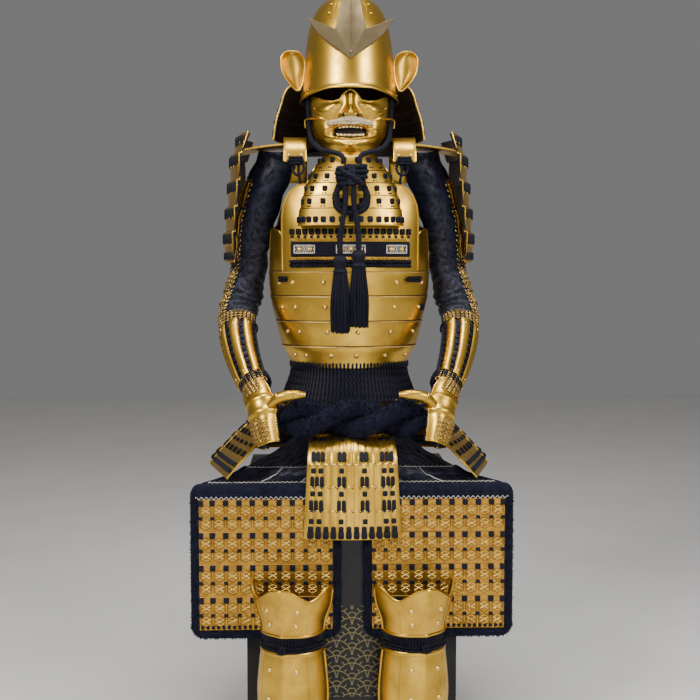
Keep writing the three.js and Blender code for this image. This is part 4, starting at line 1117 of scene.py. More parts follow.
LIGHTS = [
    ("key_left", (-1.9, -2.4, 2.9), (0, 0, 0.95), 105, 0.9, (1, 0.97, 0.92)),
    ("key_right", (2.1, -2.2, 2.5), (0, 0, 0.95), 78, 1.0, (1, 0.97, 0.93)),
    ("top", (0, -0.5, 3.4), (0, -0.1, 1.0), 60, 0.9, (1, 1, 1)),
    ("low_front", (0.3, -3.2, 0.7), (0, 0, 0.5), 18, 1.6, (1, 1, 1)),
]


def area_light(name, place, aim, power, size, colour):
    data = bpy.data.lights.new(name, "AREA")
    data.energy, data.size, data.color = power, size, colour
    light = bpy.data.objects.new(name, data)
    bpy.context.scene.collection.objects.link(light)
    light.location = place
    light.rotation_euler = (Vector(aim) - Vector(place)).to_track_quat("-Z", "Y").to_euler()


def make_stage():
    scene = bpy.context.scene
    data = bpy.data.cameras.new("view")
    data.lens, data.sensor_width, data.sensor_fit = LENS, 36, "HORIZONTAL"
    camera = bpy.data.objects.new("view", data)
    scene.collection.objects.link(camera)
    camera.location = CAMERA_PLACE
    camera.rotation_euler = (math.radians(CAMERA_PITCH), 0, math.radians(CAMERA_TURN))
    scene.camera = camera
    bm = bmesh.new()
    bmesh.ops.create_grid(bm, x_segments=8, y_segments=8, size=7)
    bmesh.ops.translate(bm, verts=bm.verts, vec=(0, 0, -0.0005))
    mesh = bpy.data.meshes.new("floor")
    bm.to_mesh(mesh)
    bm.free()
    mesh.materials.append(FINISHES["floor"])
    floor = bpy.data.objects.new("floor", mesh)
    scene.collection.objects.link(floor)
    world = bpy.data.worlds.new("studio")
    world.use_nodes = True
    ground = next(n for n in world.node_tree.nodes if n.type == "BACKGROUND")
    ground.inputs["Color"].default_value = (0.62, 0.62, 0.63, 1)
    ground.inputs["Strength"].default_value = 0.30
    scene.world = world
    for light in LIGHTS:
        area_light(*light)


# Runs over forms

def level(start, end, count, lift):
    """Rows of a panel that all stand equally high."""
    return [(at, lift) for at in spread(start, end, count)]


def run_across(place, start, end, count, at, out=0):
    """Places on a form with its first value running."""
    return [place(value, at, out) for value in spread(start, end, count)]


def run_along(place, at, start, end, count, out=0):
    """Places on a form with its second value running."""
    return [place(at, value, out) for value in spread(start, end, count)]


# Small shapes that are repeated

SHAPES = {}


def make_shapes():
    SHAPES.update(pad=pad_shape(), bead=bead_shape(), link=link_shape(), knob=bead_shape(8, 3))
    SHAPES.update(petal=bead_shape(6, 2))


def rivet_at(bm, matrix, radius=4.2, height=2.6, material=0):
    stamp(bm, SHAPES["bead"], matrix @ sized(radius, radius, height), material)


def lace_at(bm, matrix, width, length, height=2.0, material=0):
    stamp(bm, SHAPES["pad"], matrix @ sized(width, length, height), material)


def laces(bm, place, columns, seams, width, length, out, height):
    """Short upright laces across the seams of a laced panel."""
    for seam in seams:
        for column in columns:
            lace_at(bm, seat(place, column, seam, out), width, length, height)


def lame_rows(edges, ledge, half, thick, steps=3):
    """Rows of a laced panel: each lame stands out at its top edge over the one above."""
    rows = []
    way = 1 if edges[-1] > edges[0] else -1
    for k, (top, bottom) in enumerate(zip(edges, edges[1:])):
        first = top + way * half if k else top
        last = bottom - way * half if k < len(edges) - 2 else bottom
        for share in spread(0, 1, steps):
            rows.append((mix(first, last, share), thick + ledge * (1 - share)))
    return rows


def line(bm, path, radius, sides=2, material=0):
    """Adds one round strand to a bmesh, as a rolled edge, a seam or a thread."""
    return added(bm, strands([path], radius, sides), material)


def dark_seams(bm, seams, material):
    """Thin dark lines where one lame passes under the next."""
    return added(bm, strands(seams, 0.9, 1), material)


# Head

def build_helmet():
    thick = 2.5
    lifts = [(0, 1.6), (0.006, 2.6), (0.014, 2.9), (0.024, 2.4), (0.034, 0.7), (0.05, 0)]
    shares = lifts + level(0.08, 0.9, 30, 0) + [(s, 0) for s in (0.94, 0.97, 0.99, 1)]
    rows = [(share, thick + lift) for share, lift in shares]
    bm = form(spread(0, 360, 96), rows, dome_at, thick, Vector((0, 0, 1520)), True, 1)
    for side in (-1, 1):
        strip = level(0.57, 0.86, 12, thick + 1.4)
        centre = side * 33
        columns = spread(centre - 6.5, centre + 6.5, 4)
        added(bm, form(columns, strip, dome_at, 1.6, Vector((0, 0, 1500))))
        for share in (0.61, 0.70, 0.79):
            rivet_at(bm, seat(dome_at, centre, share, thick + 1.3, BY_SHARE), 4.2, 3.2)
    for angle in range(60, 301, 24):
        rivet_at(bm, seat(dome_at, angle, 0.075, thick - 0.2, BY_SHARE), 2.6, 1.6)
    solid(bm, "helmet", "gilt inside", "helmet_bowl")


def copied(node):
    """A CAD node's mesh with its doubles merged and its flat faces joined."""
    bm = bmesh.new()
    bm.from_mesh(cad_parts[node].data)
    bmesh.ops.remove_doubles(bm, verts=bm.verts, dist=2e-5)
    bmesh.ops.dissolve_limit(bm, angle_limit=math.radians(1), verts=bm.verts, edges=bm.edges)
    return bm


def build_crest():
    bm = copied("helmet_crest")
    round_edges(bm, 1.0, 3, 8)
    facing = Matrix.Rotation(math.pi / 2, 4, "X")
    rivet_at(bm, Matrix.Translation((0, -0.1215, 1.512)) @ facing, 4, 2.6)
    solid(bm, "crest", "crest", "helmet_crest")


def ear_at(across, z, out=0):
    _, inner, outer = row_at(EAR, z)
    y = -24 + 13 * (1 - across**2)
    return Vector((mix(inner, outer, (across + 1) / 2), y - out, z))


def build_ears():
    rows = level(1446, 1530, 22, 2)
    bm = form(spread(-1, 1, 16), rows, ear_at, 2, Vector((125, 60, 1488)))
    rim = run_along(ear_at, -1, 1446, 1530, 8, 1) + run_along(ear_at, 1, 1530, 1446, 8, 1)
    line(bm, smooth_path(rim + [rim[0]], 70), 1.7)
    pair(bm, "ear", "gilt", "helmet_ear")


def build_neck_guard():
    rows = lame_rows(NECK_EDGES, 3, 0.4, 2, 3)
    rows.insert(1, (1457, 4.6))
    bm = form(spread(*NECK_SPAN, 72), rows, neck_at, 2, Vector((0, 0, 1400)), inside=1)
    for start, end in ((91, 1), (269, -1)):
        heights = (1462, 1457, 1438, 1415, 1390, 1366, 1342)
        edge = [neck_at(start + end * 0.5, z, 1.5) for z in heights]
        line(bm, smooth_path(edge, 30), 2.2)
    line(bm, run_across(neck_at, *NECK_SPAN, 60, 1341.5, 1.5), 2.0)
    solid(bm, "neck_lames", "gilt inside", "neck_guard")
    tied = bmesh.new()
    laces(tied, neck_at, spread(96, 264, 20), [z - 10 for z in NECK_EDGES[1:-1]], 9, 11, 2.4, 4.5)
    laces(tied, neck_at, spread(96, 264, 34), [1349], 9, 9, 1.6, 4.5)
    solid(tied, "neck_laces", "lace")


# War mask: a generic snarling mask on ordinary proportions

MASK_HILLS = [
    # x, z, wide, tall, raise
    (0, 1386, 11, 13, 17),
    (0, 1412, 7, 22, 9),
    (0, 1428, 9, 8, 5),
    (14, 1382, 7.5, 7.5, 8),
    (46, 1394, 16, 14, 9),
    (30, 1404, 9, 6, 4),
    (36, 1371, 8, 14, -3),
    (64, 1372, 14, 26, 3),
    (0, 1316, 20, 11, 11),
    (0, 1332, 22, 4.5, -3.5),
    (30, 1326, 16, 10, 4),
    (50, 1346, 9, 18, 5),
]
# The mouth's middle height, half width and half height
MOUTH = {"z": 1347, "half": 40, "tall": 13}


def mouth_share(x, z):
    """Nought at the middle of the mouth, one at its edge."""
    bow = -2.0 * (abs(x) / MOUTH["half"]) ** 2
    tall = MOUTH["tall"] * max(0.5, 1 - 0.25 * (abs(x) / MOUTH["half"]) ** 2)
    across, along = abs(x) / MOUTH["half"], abs(z - MOUTH["z"] - bow) / tall
    return (across**3.2 + along**3.2) ** (1 / 3.2)


def mask_lift(x, z):
    lift = 0.0
    for hill_x, hill_z, wide, tall, high in MASK_HILLS:
        across, along = (abs(x) - hill_x) / wide, (z - hill_z) / tall
        lift += high * math.exp(-across * across - along * along)
    mouth = mouth_share(x, z)
    lift += 4.5 * bell(mouth - 1.18, 0.16)
    crease = abs(x) - 24 - (1384 - z) * 0.55
    lift -= 3.4 * bell(crease, 2.8) * bell(z - 1366, 20)
    for fold in (0, 1, 2):
        ridge = z - 1392 + fold * 9 - (abs(x) - 55) * 0.5
        lift += 2.6 * bell(ridge, 2.4) * bell(abs(x) - 64, 9)
    chin = z - 1318 - 0.02 * x * x
    lift += 2.4 * bell(chin, 2.2) * bell(x, 22)
    sunk = clamp((1.0 - mouth) / 0.16)
    return lift - 13 * sunk * sunk * (3 - 2 * sunk)


def mask_at(angle, share, out=0):
    wide = row_at(MASK, 1400)[1] * sine(angle)
    z = mix(MASK_BOTTOM, line_at(MASK_TOP, abs(wide)), share)
    _, half, side, front = row_at(MASK, z)
    x, y = half * sine(angle), mix(side, front, cosine(angle))
    lift = out + mask_lift(x, z) if out else 0
    return Vector((x, y, z)) + Vector((sine(angle), -cosine(angle), 0)) * lift


def tooth_row(bm, z, count, size, way):
    for i in range(count):
        x = (i - (count - 1) / 2) * 7.6
        edge = abs(i - (count - 1) / 2) / (count / 2)
        tooth = Matrix.Translation((x * MM, (-99 + 6 * edge) * MM, (z + way * 1.5 * edge) * MM))
        turn = Matrix.Rotation(math.pi / 2, 4, "X")
        lace_at(bm, tooth @ turn, 7.0, size, 4, 1)


def build_mask():
    turns = [math.degrees(math.asin(clamp(s, -1, 1))) for s in spread(-1, 1, 92)]
    rows = level(0, 1, 72, 2)
    bm = form(turns, rows, mask_at, 0, Vector((0, 0, 1370)))
    for face in bm.faces:
        point = face.calc_center_median() / MM
        if mouth_share(point.x, point.z) < 0.9:
            face.material_index = 2
    thicken(bm, 0.0018, 3)
    tooth_row(bm, 1357.5, 7, 5, -1)
    tooth_row(bm, 1339.0, 8, 5.5, 1)
    top = [mask_at(angle, 1, 2.4) for angle in turns[2:-2:4]]
    line(bm, top, 1.6)
    for side in (-1, 1):
        rivet_at(bm, seat(mask_at, side * 9.6, 0.62, 2.1), 4.4, 1.8, 2)
        hook = [
            (side * 70, -80, 1377), (side * 86, -66, 1378), (side * 96, -52, 1378),
            (side * 98.5, -49, 1374), (side * 97, -49, 1360),
        ]
        line(bm, smooth_path(hook, 16), 2.2)
        rivet_at(bm, seat(mask_at, side * 62, 0.8, 1.8, BY_SHARE), 3, 2.4)
    solid(bm, "war_mask", "gilt tooth mouth inside", "face_mask", least=55)


def build_moustache():
    rng = random.Random(SEED)
    paths = []
    for k in range(HAIRS):
        side = -1 if k % 2 else 1
        root = rng.uniform(-3, 34)
        low = rng.uniform(-8, 7)
        reach = rng.uniform(12, 22)
        path = []
        for share in spread(0, 1, 7):
            x = root + reach * share
            z = 1370 + low * (1 - 0.5 * max(0, x) / 56) - 5 * max(0, x - 22) / 30
            _, half, face_side, front = row_at(MASK, z)
            y = mix(face_side, front, math.sqrt(max(0, 1 - (x / half) ** 2)))
            swell = 5.5 * math.sin(math.pi * clamp(share * 0.9 + 0.08)) * (1 - abs(low) / 10)
            out = 3.0 + mask_lift(x, z) + swell + rng.uniform(0, 1.2)
            path.append((side * x, y - out, z + rng.uniform(-0.25, 0.25)))
        paths.append(path)
    bm = strands(paths, 1.25, 0, lambda share: 1.15 - 0.8 * share)
    solid(bm, "moustache", "hair", "mask_moustache", least=SOFT)


def build_throat():
    rows = lame_rows(THROAT_EDGES, 3, 0.4, 2, 4)
    bm = form(spread(*THROAT_SPAN, 56), rows, throat_at, 2, Vector((0, 0, 1230)), inside=1)
    for side in THROAT_SPAN:
        line(bm, smooth_path(run_along(throat_at, side, 1302, 1146, 9, 1.4), 30), 2)
    line(bm, run_across(throat_at, *THROAT_SPAN, 44, 1145.5, 1.2), 2.1)
    seams = [run_across(throat_at, -87, 87, 60, z + 1.0, 2.3) for z in THROAT_EDGES[1:-1]]
    dark_seams(bm, seams, 1)
    solid(bm, "throat_lames", "gilt inside", "throat_guard")
    tied = bmesh.new()
    for top, bottom in zip(THROAT_EDGES[:-1], THROAT_EDGES[1:-1]):
        z = mix(top, bottom, 0.42)
        for angle in (-76, -56, -34, -12, 12, 34, 56, 76):
            lace_at(tied, seat(throat_at, angle, z, 2.4), 10.5, 12, 5)
        for angle in (-58, -54, -36, -32, 32, 36, 54, 58):
            lace_at(tied, seat(throat_at, angle, mix(top, bottom, 0.8), 1.8), 3.0, 3.0, 3)
    laces(tied, throat_at, spread(-84, 84, 16), [1157], 11, 13, 1.6, 5)
    solid(tied, "throat_laces", "lace")


# Cords

def route(points, mirror=1):
    return [Vector((x * mirror, y, z)) for x, y, z in points]


def knot_turn(z, half, deep, radius):
    """One wrapped turn of the knot, a little slanted."""
    ring = []
    for turn in spread(0, math.tau, 28):
        ring.append(Vector((
            (half - radius) * math.cos(turn),
            KNOT_Y + (deep - radius * 0.6) * math.sin(turn),
            z + 2.5 * math.cos(turn),
        )))
    return ring


def build_knot():
    bm = bmesh.new()
    for z, half, deep in ((1264, 35, 15), (1254, 37.5, 15.5), (1243, 36, 15), (1232.5, 31, 14)):
        added(bm, braid(knot_turn(z, half, deep, 6), 6, 26, 6))
    core = [Vector((0, KNOT_Y, z)) for z in spread(1270, 1228, 10)]
    line(bm, core, 17, 3)
    for grow, front in ((0, 0), (9.5, -3)):
        loop = [
            (x + math.copysign(grow, x) * 0.35, y + front, z - grow * 0.9) for x, y, z in KNOT_LOOP
        ]
        added(bm, braid(smooth_path(loop, 60), 6.2, 30, 8))
    over = [
        (-22, -170, 1262), (-14, -180.5, 1252), (0, -183, 1245), (14, -180.5, 1236),
        (22, -170, 1228),
    ]
    added(bm, braid(smooth_path(over, 22), 6, 26, 6))
    return solid(bm, "wrapped_knot", "cord", "cord_knot", least=SOFT)


def tassel_strands(x, bottom, rng):
    """Silk strands of one tassel, bound under its head and falling nearly straight."""
    paths = []
    for k in range(TASSEL_STRANDS):
        reach = math.sqrt((k + 0.5) / TASSEL_STRANDS)
        turn = k * GOLDEN_TURN
        sway = rng.uniform(-1.5, 1.5)
        length = TASSEL_LENGTH - 2 - rng.uniform(0, 6)
        path = []
        for share in spread(0, 1, 6):
            drop = mix(29, length, share)
            radius = reach * mix(13, 21.5, min(1, share * 1.8)) * (1 - 0.05 * share)
            path.append((
                x + radius * math.cos(turn) + sway * math.sin(share * 3),
                CORD_END_Y + radius * 0.92 * math.sin(turn) + sway * 0.5 * math.sin(share * 4 + k),
                bottom - drop,
            ))
        paths.append(path)
    return strands(paths, 1.25, 0, lambda share: 1 - 0.25 * share)


def tassel_head(x, bottom):
    """A cord ball, a smooth silk skirt and a bound neck, turned round the cord's end."""
    profile = [
        (4.6, 0), (9, 2), (13.5, 7), (14.4, 13), (13, 19), (10.4, 23), (10.8, 26), (13.6, 31),
        (14.4, 35),
    ]
    rows = level(0, len(profile) - 1, 26, 0)

    def place(angle, step, out=0):
        radius, drop = step_at(profile, step)
        reach = radius + 0.35 * cosine(angle * 30) + out
        return Vector((x + reach * cosine(angle), CORD_END_Y + reach * sine(angle), bottom - drop))

    bm = form(spread(0, 360, 90), rows, place, 0, Vector((x, CORD_END_Y, bottom - 15)), True)
    for drop in (22, 24.2, 26.4):
        line(bm, ring_path(x, CORD_END_Y, bottom - drop, 11.2, 11.2, 30), 1.3, 1)
    return bm


def build_cords():
    """Cheek cords, knot, hanging ends and tassels, each cord at its shown length."""
    knot = build_knot()
    cords = []
    for side, way in (("right", 1), ("left", -1)):
        path = smooth_path(route(CHEEK_ROUTE, way), 90)
        bm = braid(path, 5.4, 24, 8)
        piece = solid(bm, f"cheek_braid_{side}", "cord", f"cheek_cord_{side}", least=SOFT)
        cords.append((piece, path, [knot] if side == "right" else []))
    rng = random.Random(SEED)
    for side, (top, x, bottom) in CORD_ENDS.items():
        heights = spread(KNOT_BOTTOM - 0.3, bottom + 0.3, 4)
        across = [mix(top, x, share) for share in (0, 0, 0.5, 1, 1)]
        path = smooth_path([(a, CORD_END_Y, z) for a, z in zip(across, heights)], 50)
        bm = braid(path, 5.6, 24, 8)
        piece = solid(bm, f"hanging_braid_{side}", "cord", f"cord_end_{side}", least=SOFT)
        bm = tassel_strands(x, bottom, rng)
        solid(bm, f"silk_tassel_{side}", "cord", f"tassel_{side}", least=SOFT)
        head = solid(tassel_head(x, bottom), f"tassel_head_{side}", "cord", least=50)
        cords.append((piece, path, [head]))
    for piece, path, carried in cords:
        points = [tuple(point * MM) for point in path]
        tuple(points[0])
        lengths(path)[-1] * MM


# Trunk

def cuirass_rows(top):
    """Rows of one cuirass half: smooth plates, each with a slight step over the one above."""
    foot = CUIRASS_EDGES[0]
    rows = level(top, foot + 0.5, 22, 2.0)
    for upper, lower in zip(CUIRASS_EDGES, CUIRASS_EDGES[1:]):
        tall = upper - lower
        for share, lift in (
            (0, 2.0), (0.012, 3.2), (0.05, 3.5), (0.3, 3.0), (0.6, 2.5), (0.97, 2.0),
        ):
            rows.append((upper - share * tall, lift))
    rows.append((CUIRASS_EDGES[-1], 2.0))
    return rows


def cuirass_half(columns, top_of, top):
    foot = CUIRASS_EDGES[0]

    def place(angle, z, out=0):
        share = (z - foot) / (top - foot)
        height = z if share <= 0 else mix(foot, top_of(angle), share)
        return torso_at(angle, height, out)

    bm = form(columns, cuirass_rows(top), place, 2, Vector((0, 0, 1000)), inside=1)
    border = [torso_at(angle, top_of(angle), 1.2) for angle in columns]
    line(bm, border, 2.4)
    for side in (columns[0], columns[-1]):
        line(bm, run_along(torso_at, side, 836, top_of(side) - 1, 20, 1.4), 1.8)
    return bm


def build_cuirass():
    front = spread(*FRONT_SPAN, 84)
    bm = cuirass_half(front, lambda a: line_at(ARMHOLE, abs(a)), 1138)
    for z in RIVET_ROWS:
        for angle in RIVET_ANGLES:
            rivet_at(bm, seat(torso_at, angle, z, 2.6), *PLATE_RIVET, 2)
    for z in CUIRASS_EDGES[:-1]:
        # A rolled bead under each lame's top edge in the brighter rivet gold: the bead is real
        # relief, and its brighter gold is painted highlight of the light caught on the edge.
        line(bm, run_across(torso_at, *FRONT_SPAN, 90, z - 1.2, 4.7), 1.2, 1, 2)
        line(bm, run_across(torso_at, *FRONT_SPAN, 90, z + 1.6, 2.3), 0.9, 1, 1)
    finishes = "gilt inside rivet"
    solid(bm, "cuirass_front_plates", finishes, "cuirass_front")
    back = spread(*BACK_SPAN, 84)
    bm = cuirass_half(back, lambda a: line_at(BACK_TOP, abs(180 - a)), 1250)
    for z in RIVET_ROWS:
        for angle in BACK_RIVET_ANGLES:
            rivet_at(bm, seat(torso_at, angle, z, 2.6), *PLATE_RIVET, 2)
    solid(bm, "cuirass_back_plates", finishes, "cuirass_back")


def chest_at(share, z, out=0):
    half = line_at(CHEST_EDGE, z)
    edge = torso_angle(half, z, CHEST_OUT)
    return torso_at(share * edge, z, CHEST_OUT + out)


def front_at(base):
    """Places on the trunk's front by their distance from its middle, over a base height."""

    def place(x, z, out=0):
        return torso_at(math.copysign(torso_angle(abs(x), z, base), x), z, base + out)

    return place


def band(start, end, z, height, out, thick, across=40):
    """A flat band over the chest plate, from one half width to another."""
    rows = [
        (z - height / 2, 0), (z - height * 0.4, thick), (z + height * 0.4, thick),
        (z + height / 2, 0),
    ]
    return form(spread(start, end, across), rows, front_at(out), 0, Vector((0, 300, z)))


def chest_seat(x, z, out):
    return seat(front_at(out), x, z)


def zigzag(z, out, half, tall, radius):
    """A fine zigzag cord across the chest."""
    pitch = 6.4
    points = []
    count = int(half * 2 / pitch)
    for k in range(count * 2 + 1):
        x = -half + k * pitch / 2
        lift = tall / 2 if k % 2 else -tall / 2
        angle = math.copysign(torso_angle(abs(x), z, out), x)
        points.append(torso_at(angle, z + lift, out))
    return strands([points], radius, 0)


def flower(bm, matrix, radius):
    """A generic rosette: a bead among six petals."""
    stamp(bm, SHAPES["knob"], matrix @ sized(radius * 0.36, radius * 0.36, 4.2))
    for k in range(6):
        aside = Matrix.Translation((radius * 0.58 * MM, 0, 0))
        petal = Matrix.Rotation(k * math.pi / 3, 4, "Z") @ aside
        stamp(bm, SHAPES["petal"], matrix @ petal @ sized(radius * 0.34, radius * 0.24, 2.1))


def build_chest_plate():
    rows = level(1047, 1235, 34, 2)
    bm = form(spread(-1, 1, 64), rows, chest_at, 2, Vector((0, 300, 1140)), inside=1)
    border = run_along(chest_at, -1, 1048, 1234, 26, 1.6)
    border += [chest_at(share, 1234.5, 1.6) for share in spread(-1, 1, 30)[1:-1]]
    border += run_along(chest_at, 1, 1234, 1048, 26, 1.6)
    line(bm, border, 2.5)
    solid(bm, "chest_plate_panel", "gilt inside", "chest_plate")


def build_chest_lacing():
    """Laces, zigzags, the ornament band and the rope across the chest, and the side ties."""
    bm = bmesh.new()
    for k in range(19):
        x = -126 + k * 14
        for z, *size in LACE_ROWS:
            lace_at(bm, chest_seat(x, z, 4.6), *size)
    added(bm, band(-128, 128, BAND_Z, 33, 5.2, 2.4))
    for half in (-1, 1):
        rope = run_across(front_at(7.5), -131, 131, 70, ROPE_Z)
        added(bm, braid([p + Vector((0, 0, half * 4.2)) for p in rope], 5.6, 14, 4))
    solid(bm, "chest_laces", "lace", "chest_lacing")
    bm = bmesh.new()
    added(bm, zigzag(1115, 8.6, 130, 5, 1.4))
    added(bm, zigzag(1073.5, 9.2, 130, 5.5, 1.5))
    for start, end in ((-122, -78), (-31, 31), (78, 122)):
        added(bm, band(start, end, BAND_Z, 19, 6.9, 1.6, 16), 1)
        rim = [(start, 1085.5), (end, 1085.5), (end, 1102.5), (start, 1102.5), (start, 1085.5)]
        loop = []
        for (x0, z0), (x1, z1) in zip(rim, rim[1:]):
            loop += [
                chest_seat(mix(x0, x1, s), mix(z0, z1, s), 8.7).translation / MM
                for s in spread(0, 1, 8)[:-1]
            ]
        line(bm, loop + loop[:1], 1.0, 1, 1)
        middle, short = (start + end) / 2, end - start < 50
        for x in (middle - 11, middle + 11) if short else (middle - 19, middle, middle + 19):
            flower(bm, chest_seat(x, BAND_Z, 8.6), 8.4)
            rivet_at(bm, chest_seat(x, BAND_Z, 8.6), 5, 5)
        for flip in (-1, 1):
            steps = spread(start + 1.5, end - 1.5, 8 if short else 12)
            net = [
                chest_seat(x, BAND_Z + (7.5 if k % 2 else -7.5) * flip, 8.8).translation / MM
                for k, x in enumerate(steps)
            ]
            line(bm, net, 1.5, 0, 2)
    solid(bm, "chest_ornaments", "rivet stitch lace")
    bm = bmesh.new()
    for x, z, wide in ((-148, 1029, 26), (140, 1029, 50), (160, 967, 20)):
        for row in (-1, 1):
            angle = math.copysign(torso_angle(abs(x), z, 4), x)
            lace_at(bm, seat(torso_at, angle, z + row * 3.4, 3.2), wide, 6.4, 5)
    solid(bm, "side_ties", "lace")


def strap_base(x, step):
    y, z = step_at(STRAP, step)
    return Vector((x, y, z))


def build_straps():
    """Shoulder straps with their gilt tongues, toggles and loops."""
    place = lifted(strap_base, Vector((0, -0.3, 1)))
    rows = level(0, 6, 36, 3)
    bm = form(spread(*STRAP_SIDES, 6), rows, place, 3, Vector((120, 0, 1200)))
    round_edges(bm, 0.8, 2)
    for side in STRAP_SIDES:
        line(bm, run_along(place, side, 0.05, 5.9, 40, 2.6), 1.6)
    for x in (106, 134):
        rivet_at(bm, seat(place, x, 0.45, 2.6, BY_STEP), 3.6, 2.4, 1)
    pair(bm, "strap", "gilt rivet", "shoulder_strap")
    bm = braid(smooth_path(STRAP_TIE, 24), 3.4, 14, 6)
    for z, half in ((1293, 13), (1287, 16), (1281, 13)):
        added(bm, braid(ring_path(118, -76, z, half, 6, 22), 3.6, 14, 6))
    loop = [
        (108, -74, 1290), (101, -80, 1272), (106, -84, 1258), (118, -84, 1256), (126, -79, 1270),
        (120, -75, 1286),
    ]
    added(bm, braid(smooth_path(loop, 40), 3, 13, 6))
    pair(bm, "strap_toggle", "cord", least=SOFT)


def build_shoulders():
    rows = lame_rows(SHOULDER_EDGES, 6, 0.5, 2, 3)
    bm = form(spread(*SHOULDER_SPAN, 26), rows, shoulder_at, 2, Vector((-200, 20, 1200)), inside=1)
    for y in SHOULDER_SPAN:
        line(bm, [shoulder_at(y, at, lift - 1) for at, lift in rows], 2.0)
    line(bm, run_across(shoulder_at, *SHOULDER_SPAN, 24, 1068, 1), 2.0)
    for top, bottom in zip(SHOULDER_EDGES, SHOULDER_EDGES[1:]):
        for y in range(-72, 120, 24):
            rivet_at(bm, seat(shoulder_at, y, mix(top, bottom, 0.45), 4.6), 2.6, 1.8)
    seams = [run_across(shoulder_at, -79, 119, 30, z + 1, 2.3) for z in SHOULDER_EDGES[1:-1]]
    dark_seams(bm, seams, 1)
    pair(bm, "shoulder_lames", "gilt inside", "shoulder_guard")
    bm = bmesh.new()
    columns = [y + d for y in (-66, -42, -18, 6, 30, 54, 78, 102) for d in (-4, 4)]
    laces(bm, shoulder_at, columns, [z - 15 for z in SHOULDER_EDGES[1:-1]], 7.6, 22, 5.6, 4)
    laces(bm, shoulder_at, columns, [1332], 7.6, 22, 5.4, 4)
    laces(bm, shoulder_at, spread(-74, 114, 18), [1080], 8.6, 16, 2.2, 4)
    for start, end in zip(SHOULDER_EDGES, SHOULDER_EDGES[1:]):
        rope = run_along(shoulder_at, SHOULDER_SPAN[0] - 2, start - 4, end + 4, 10, 3)
        added(bm, braid(rope, 2.6, 10, 4))
    pair(bm, "shoulder_laces", "lace")


def wing_at(y, share, out=0):
    z = WING_Z - 14 * share
    outer = shoulder_at(y, z).x - 2
    return Vector((mix(146.3, outer, share), y, z + 10 * share * (1 - share) + out))


def build_wings():
    bm = form(spread(-46.7, 53.3, 20), level(0, 1, 10, 3), wing_at, 3, Vector((200, 3, 1250)))
    round_edges(bm, 0.8, 2)
    for y in (-46, 53):
        line(bm, run_along(wing_at, y, 0, 1, 12, 2.5), 2.2)
    for y in (-30, 3, 36):
        flower(bm, seat(wing_at, y, 0.5, 3, BY_SHARE), 9)
    pair(bm, "shoulder_wing_plate", "gilt", "shoulder_wing")


# Arms

def sleeve_folds(angle, step):
    """Creases of the sleeve: slanting at the upper arm, bunched inside the elbow."""
    fade = clamp(6.6 - step)
    long_fold = 2.4 * sine(angle * 3 + step * 95)
    cross = 2.6 * math.sin(step * 7.3 + math.radians(angle) * 1.6 + math.sin(step * 2.1) * 1.4)
    bunch = 3.2 * bell(step - 5.4, 0.8) * math.sin(step * 21 + math.radians(angle))
    return fade * (1.2 + 0.72 * (long_fold + cross) + 0.8 * bunch)


def sleeve_at(angle, step, out=0):
    return arm_at(angle, step, out + (sleeve_folds(angle, step) if out > 0 else 0))


def mail_patch(bm, place, columns, rows, size, out):
    """Rows of small rings, each row tilted the other way."""
    for j, row in enumerate(rows):
        for i, column in enumerate(columns):
            if (i + j) % 2:
                continue
            tilt = Matrix.Rotation(0.5 if j % 2 else -0.5, 4, "X")
            ring = seat(place, column, row, out, BY_STEP) @ tilt @ sized(size, size, size)
            stamp(bm, SHAPES["link"], ring)


def build_sleeves():
    rows = level(0, 10, 110, 2.5)
    bm = form(spread(0, 360, 60), rows, sleeve_at, 2.2, None, True, 0)
    made = pair(bm, "sleeve_cloth", "cloth", "sleeve", least=SOFT)
    bm = bmesh.new()
    mail_patch(bm, sleeve_at, spread(-165, -42, 15), spread(0.9, 6.9, 62), 9.5, 4.2)
    pair(bm, "upper_mail", "mail", least=SOFT)
    bm = bmesh.new()
    for angle in (-50, -70, -90, -110, -130, -150):
        for start, end in ((1.0, 1.85), (2.0, 2.85), (3.0, 3.75)):
            shell = level(start, end, 8, 8.4)
            plate = form(spread(angle - 6, angle + 6, 4), shell, sleeve_at, 1.6, None)
            round_edges(plate, 0.5, 1)
            added(bm, plate)
    pair(bm, "upper_splints", "gilt")


def yoke_at(angle, share, out=0):
    """The sleeve's gathered top, from its ring up to a fold under the shoulder wing."""
    low = sleeve_at(angle, 0, out)
    high = Vector((156 - 9 * sine(angle), 6 - 44 * cosine(angle), 1311 - 3 * cosine(angle) ** 2))
    gather = 1.6 * sine(angle * 9) * math.sin(math.pi * share)
    point = low.lerp(high, share)
    swell = 9 * math.sin(math.pi * share * 0.9) + gather
    away = Vector((-sine(angle), -cosine(angle), 0.2)).normalized()
    return point + away * (swell if out > 0 else swell - 2)


def build_yokes():
    bm = form(spread(0, 360, 72), level(-0.02, 1, 26, 2.5), yoke_at, 2, None, True)
    pair(bm, "sleeve_yoke", "cloth", least=SOFT)


def splint_lift(angle, centre, width):
    share = (angle - centre) / width
    return 5.2 * math.sqrt(max(0, 1 - share * share))


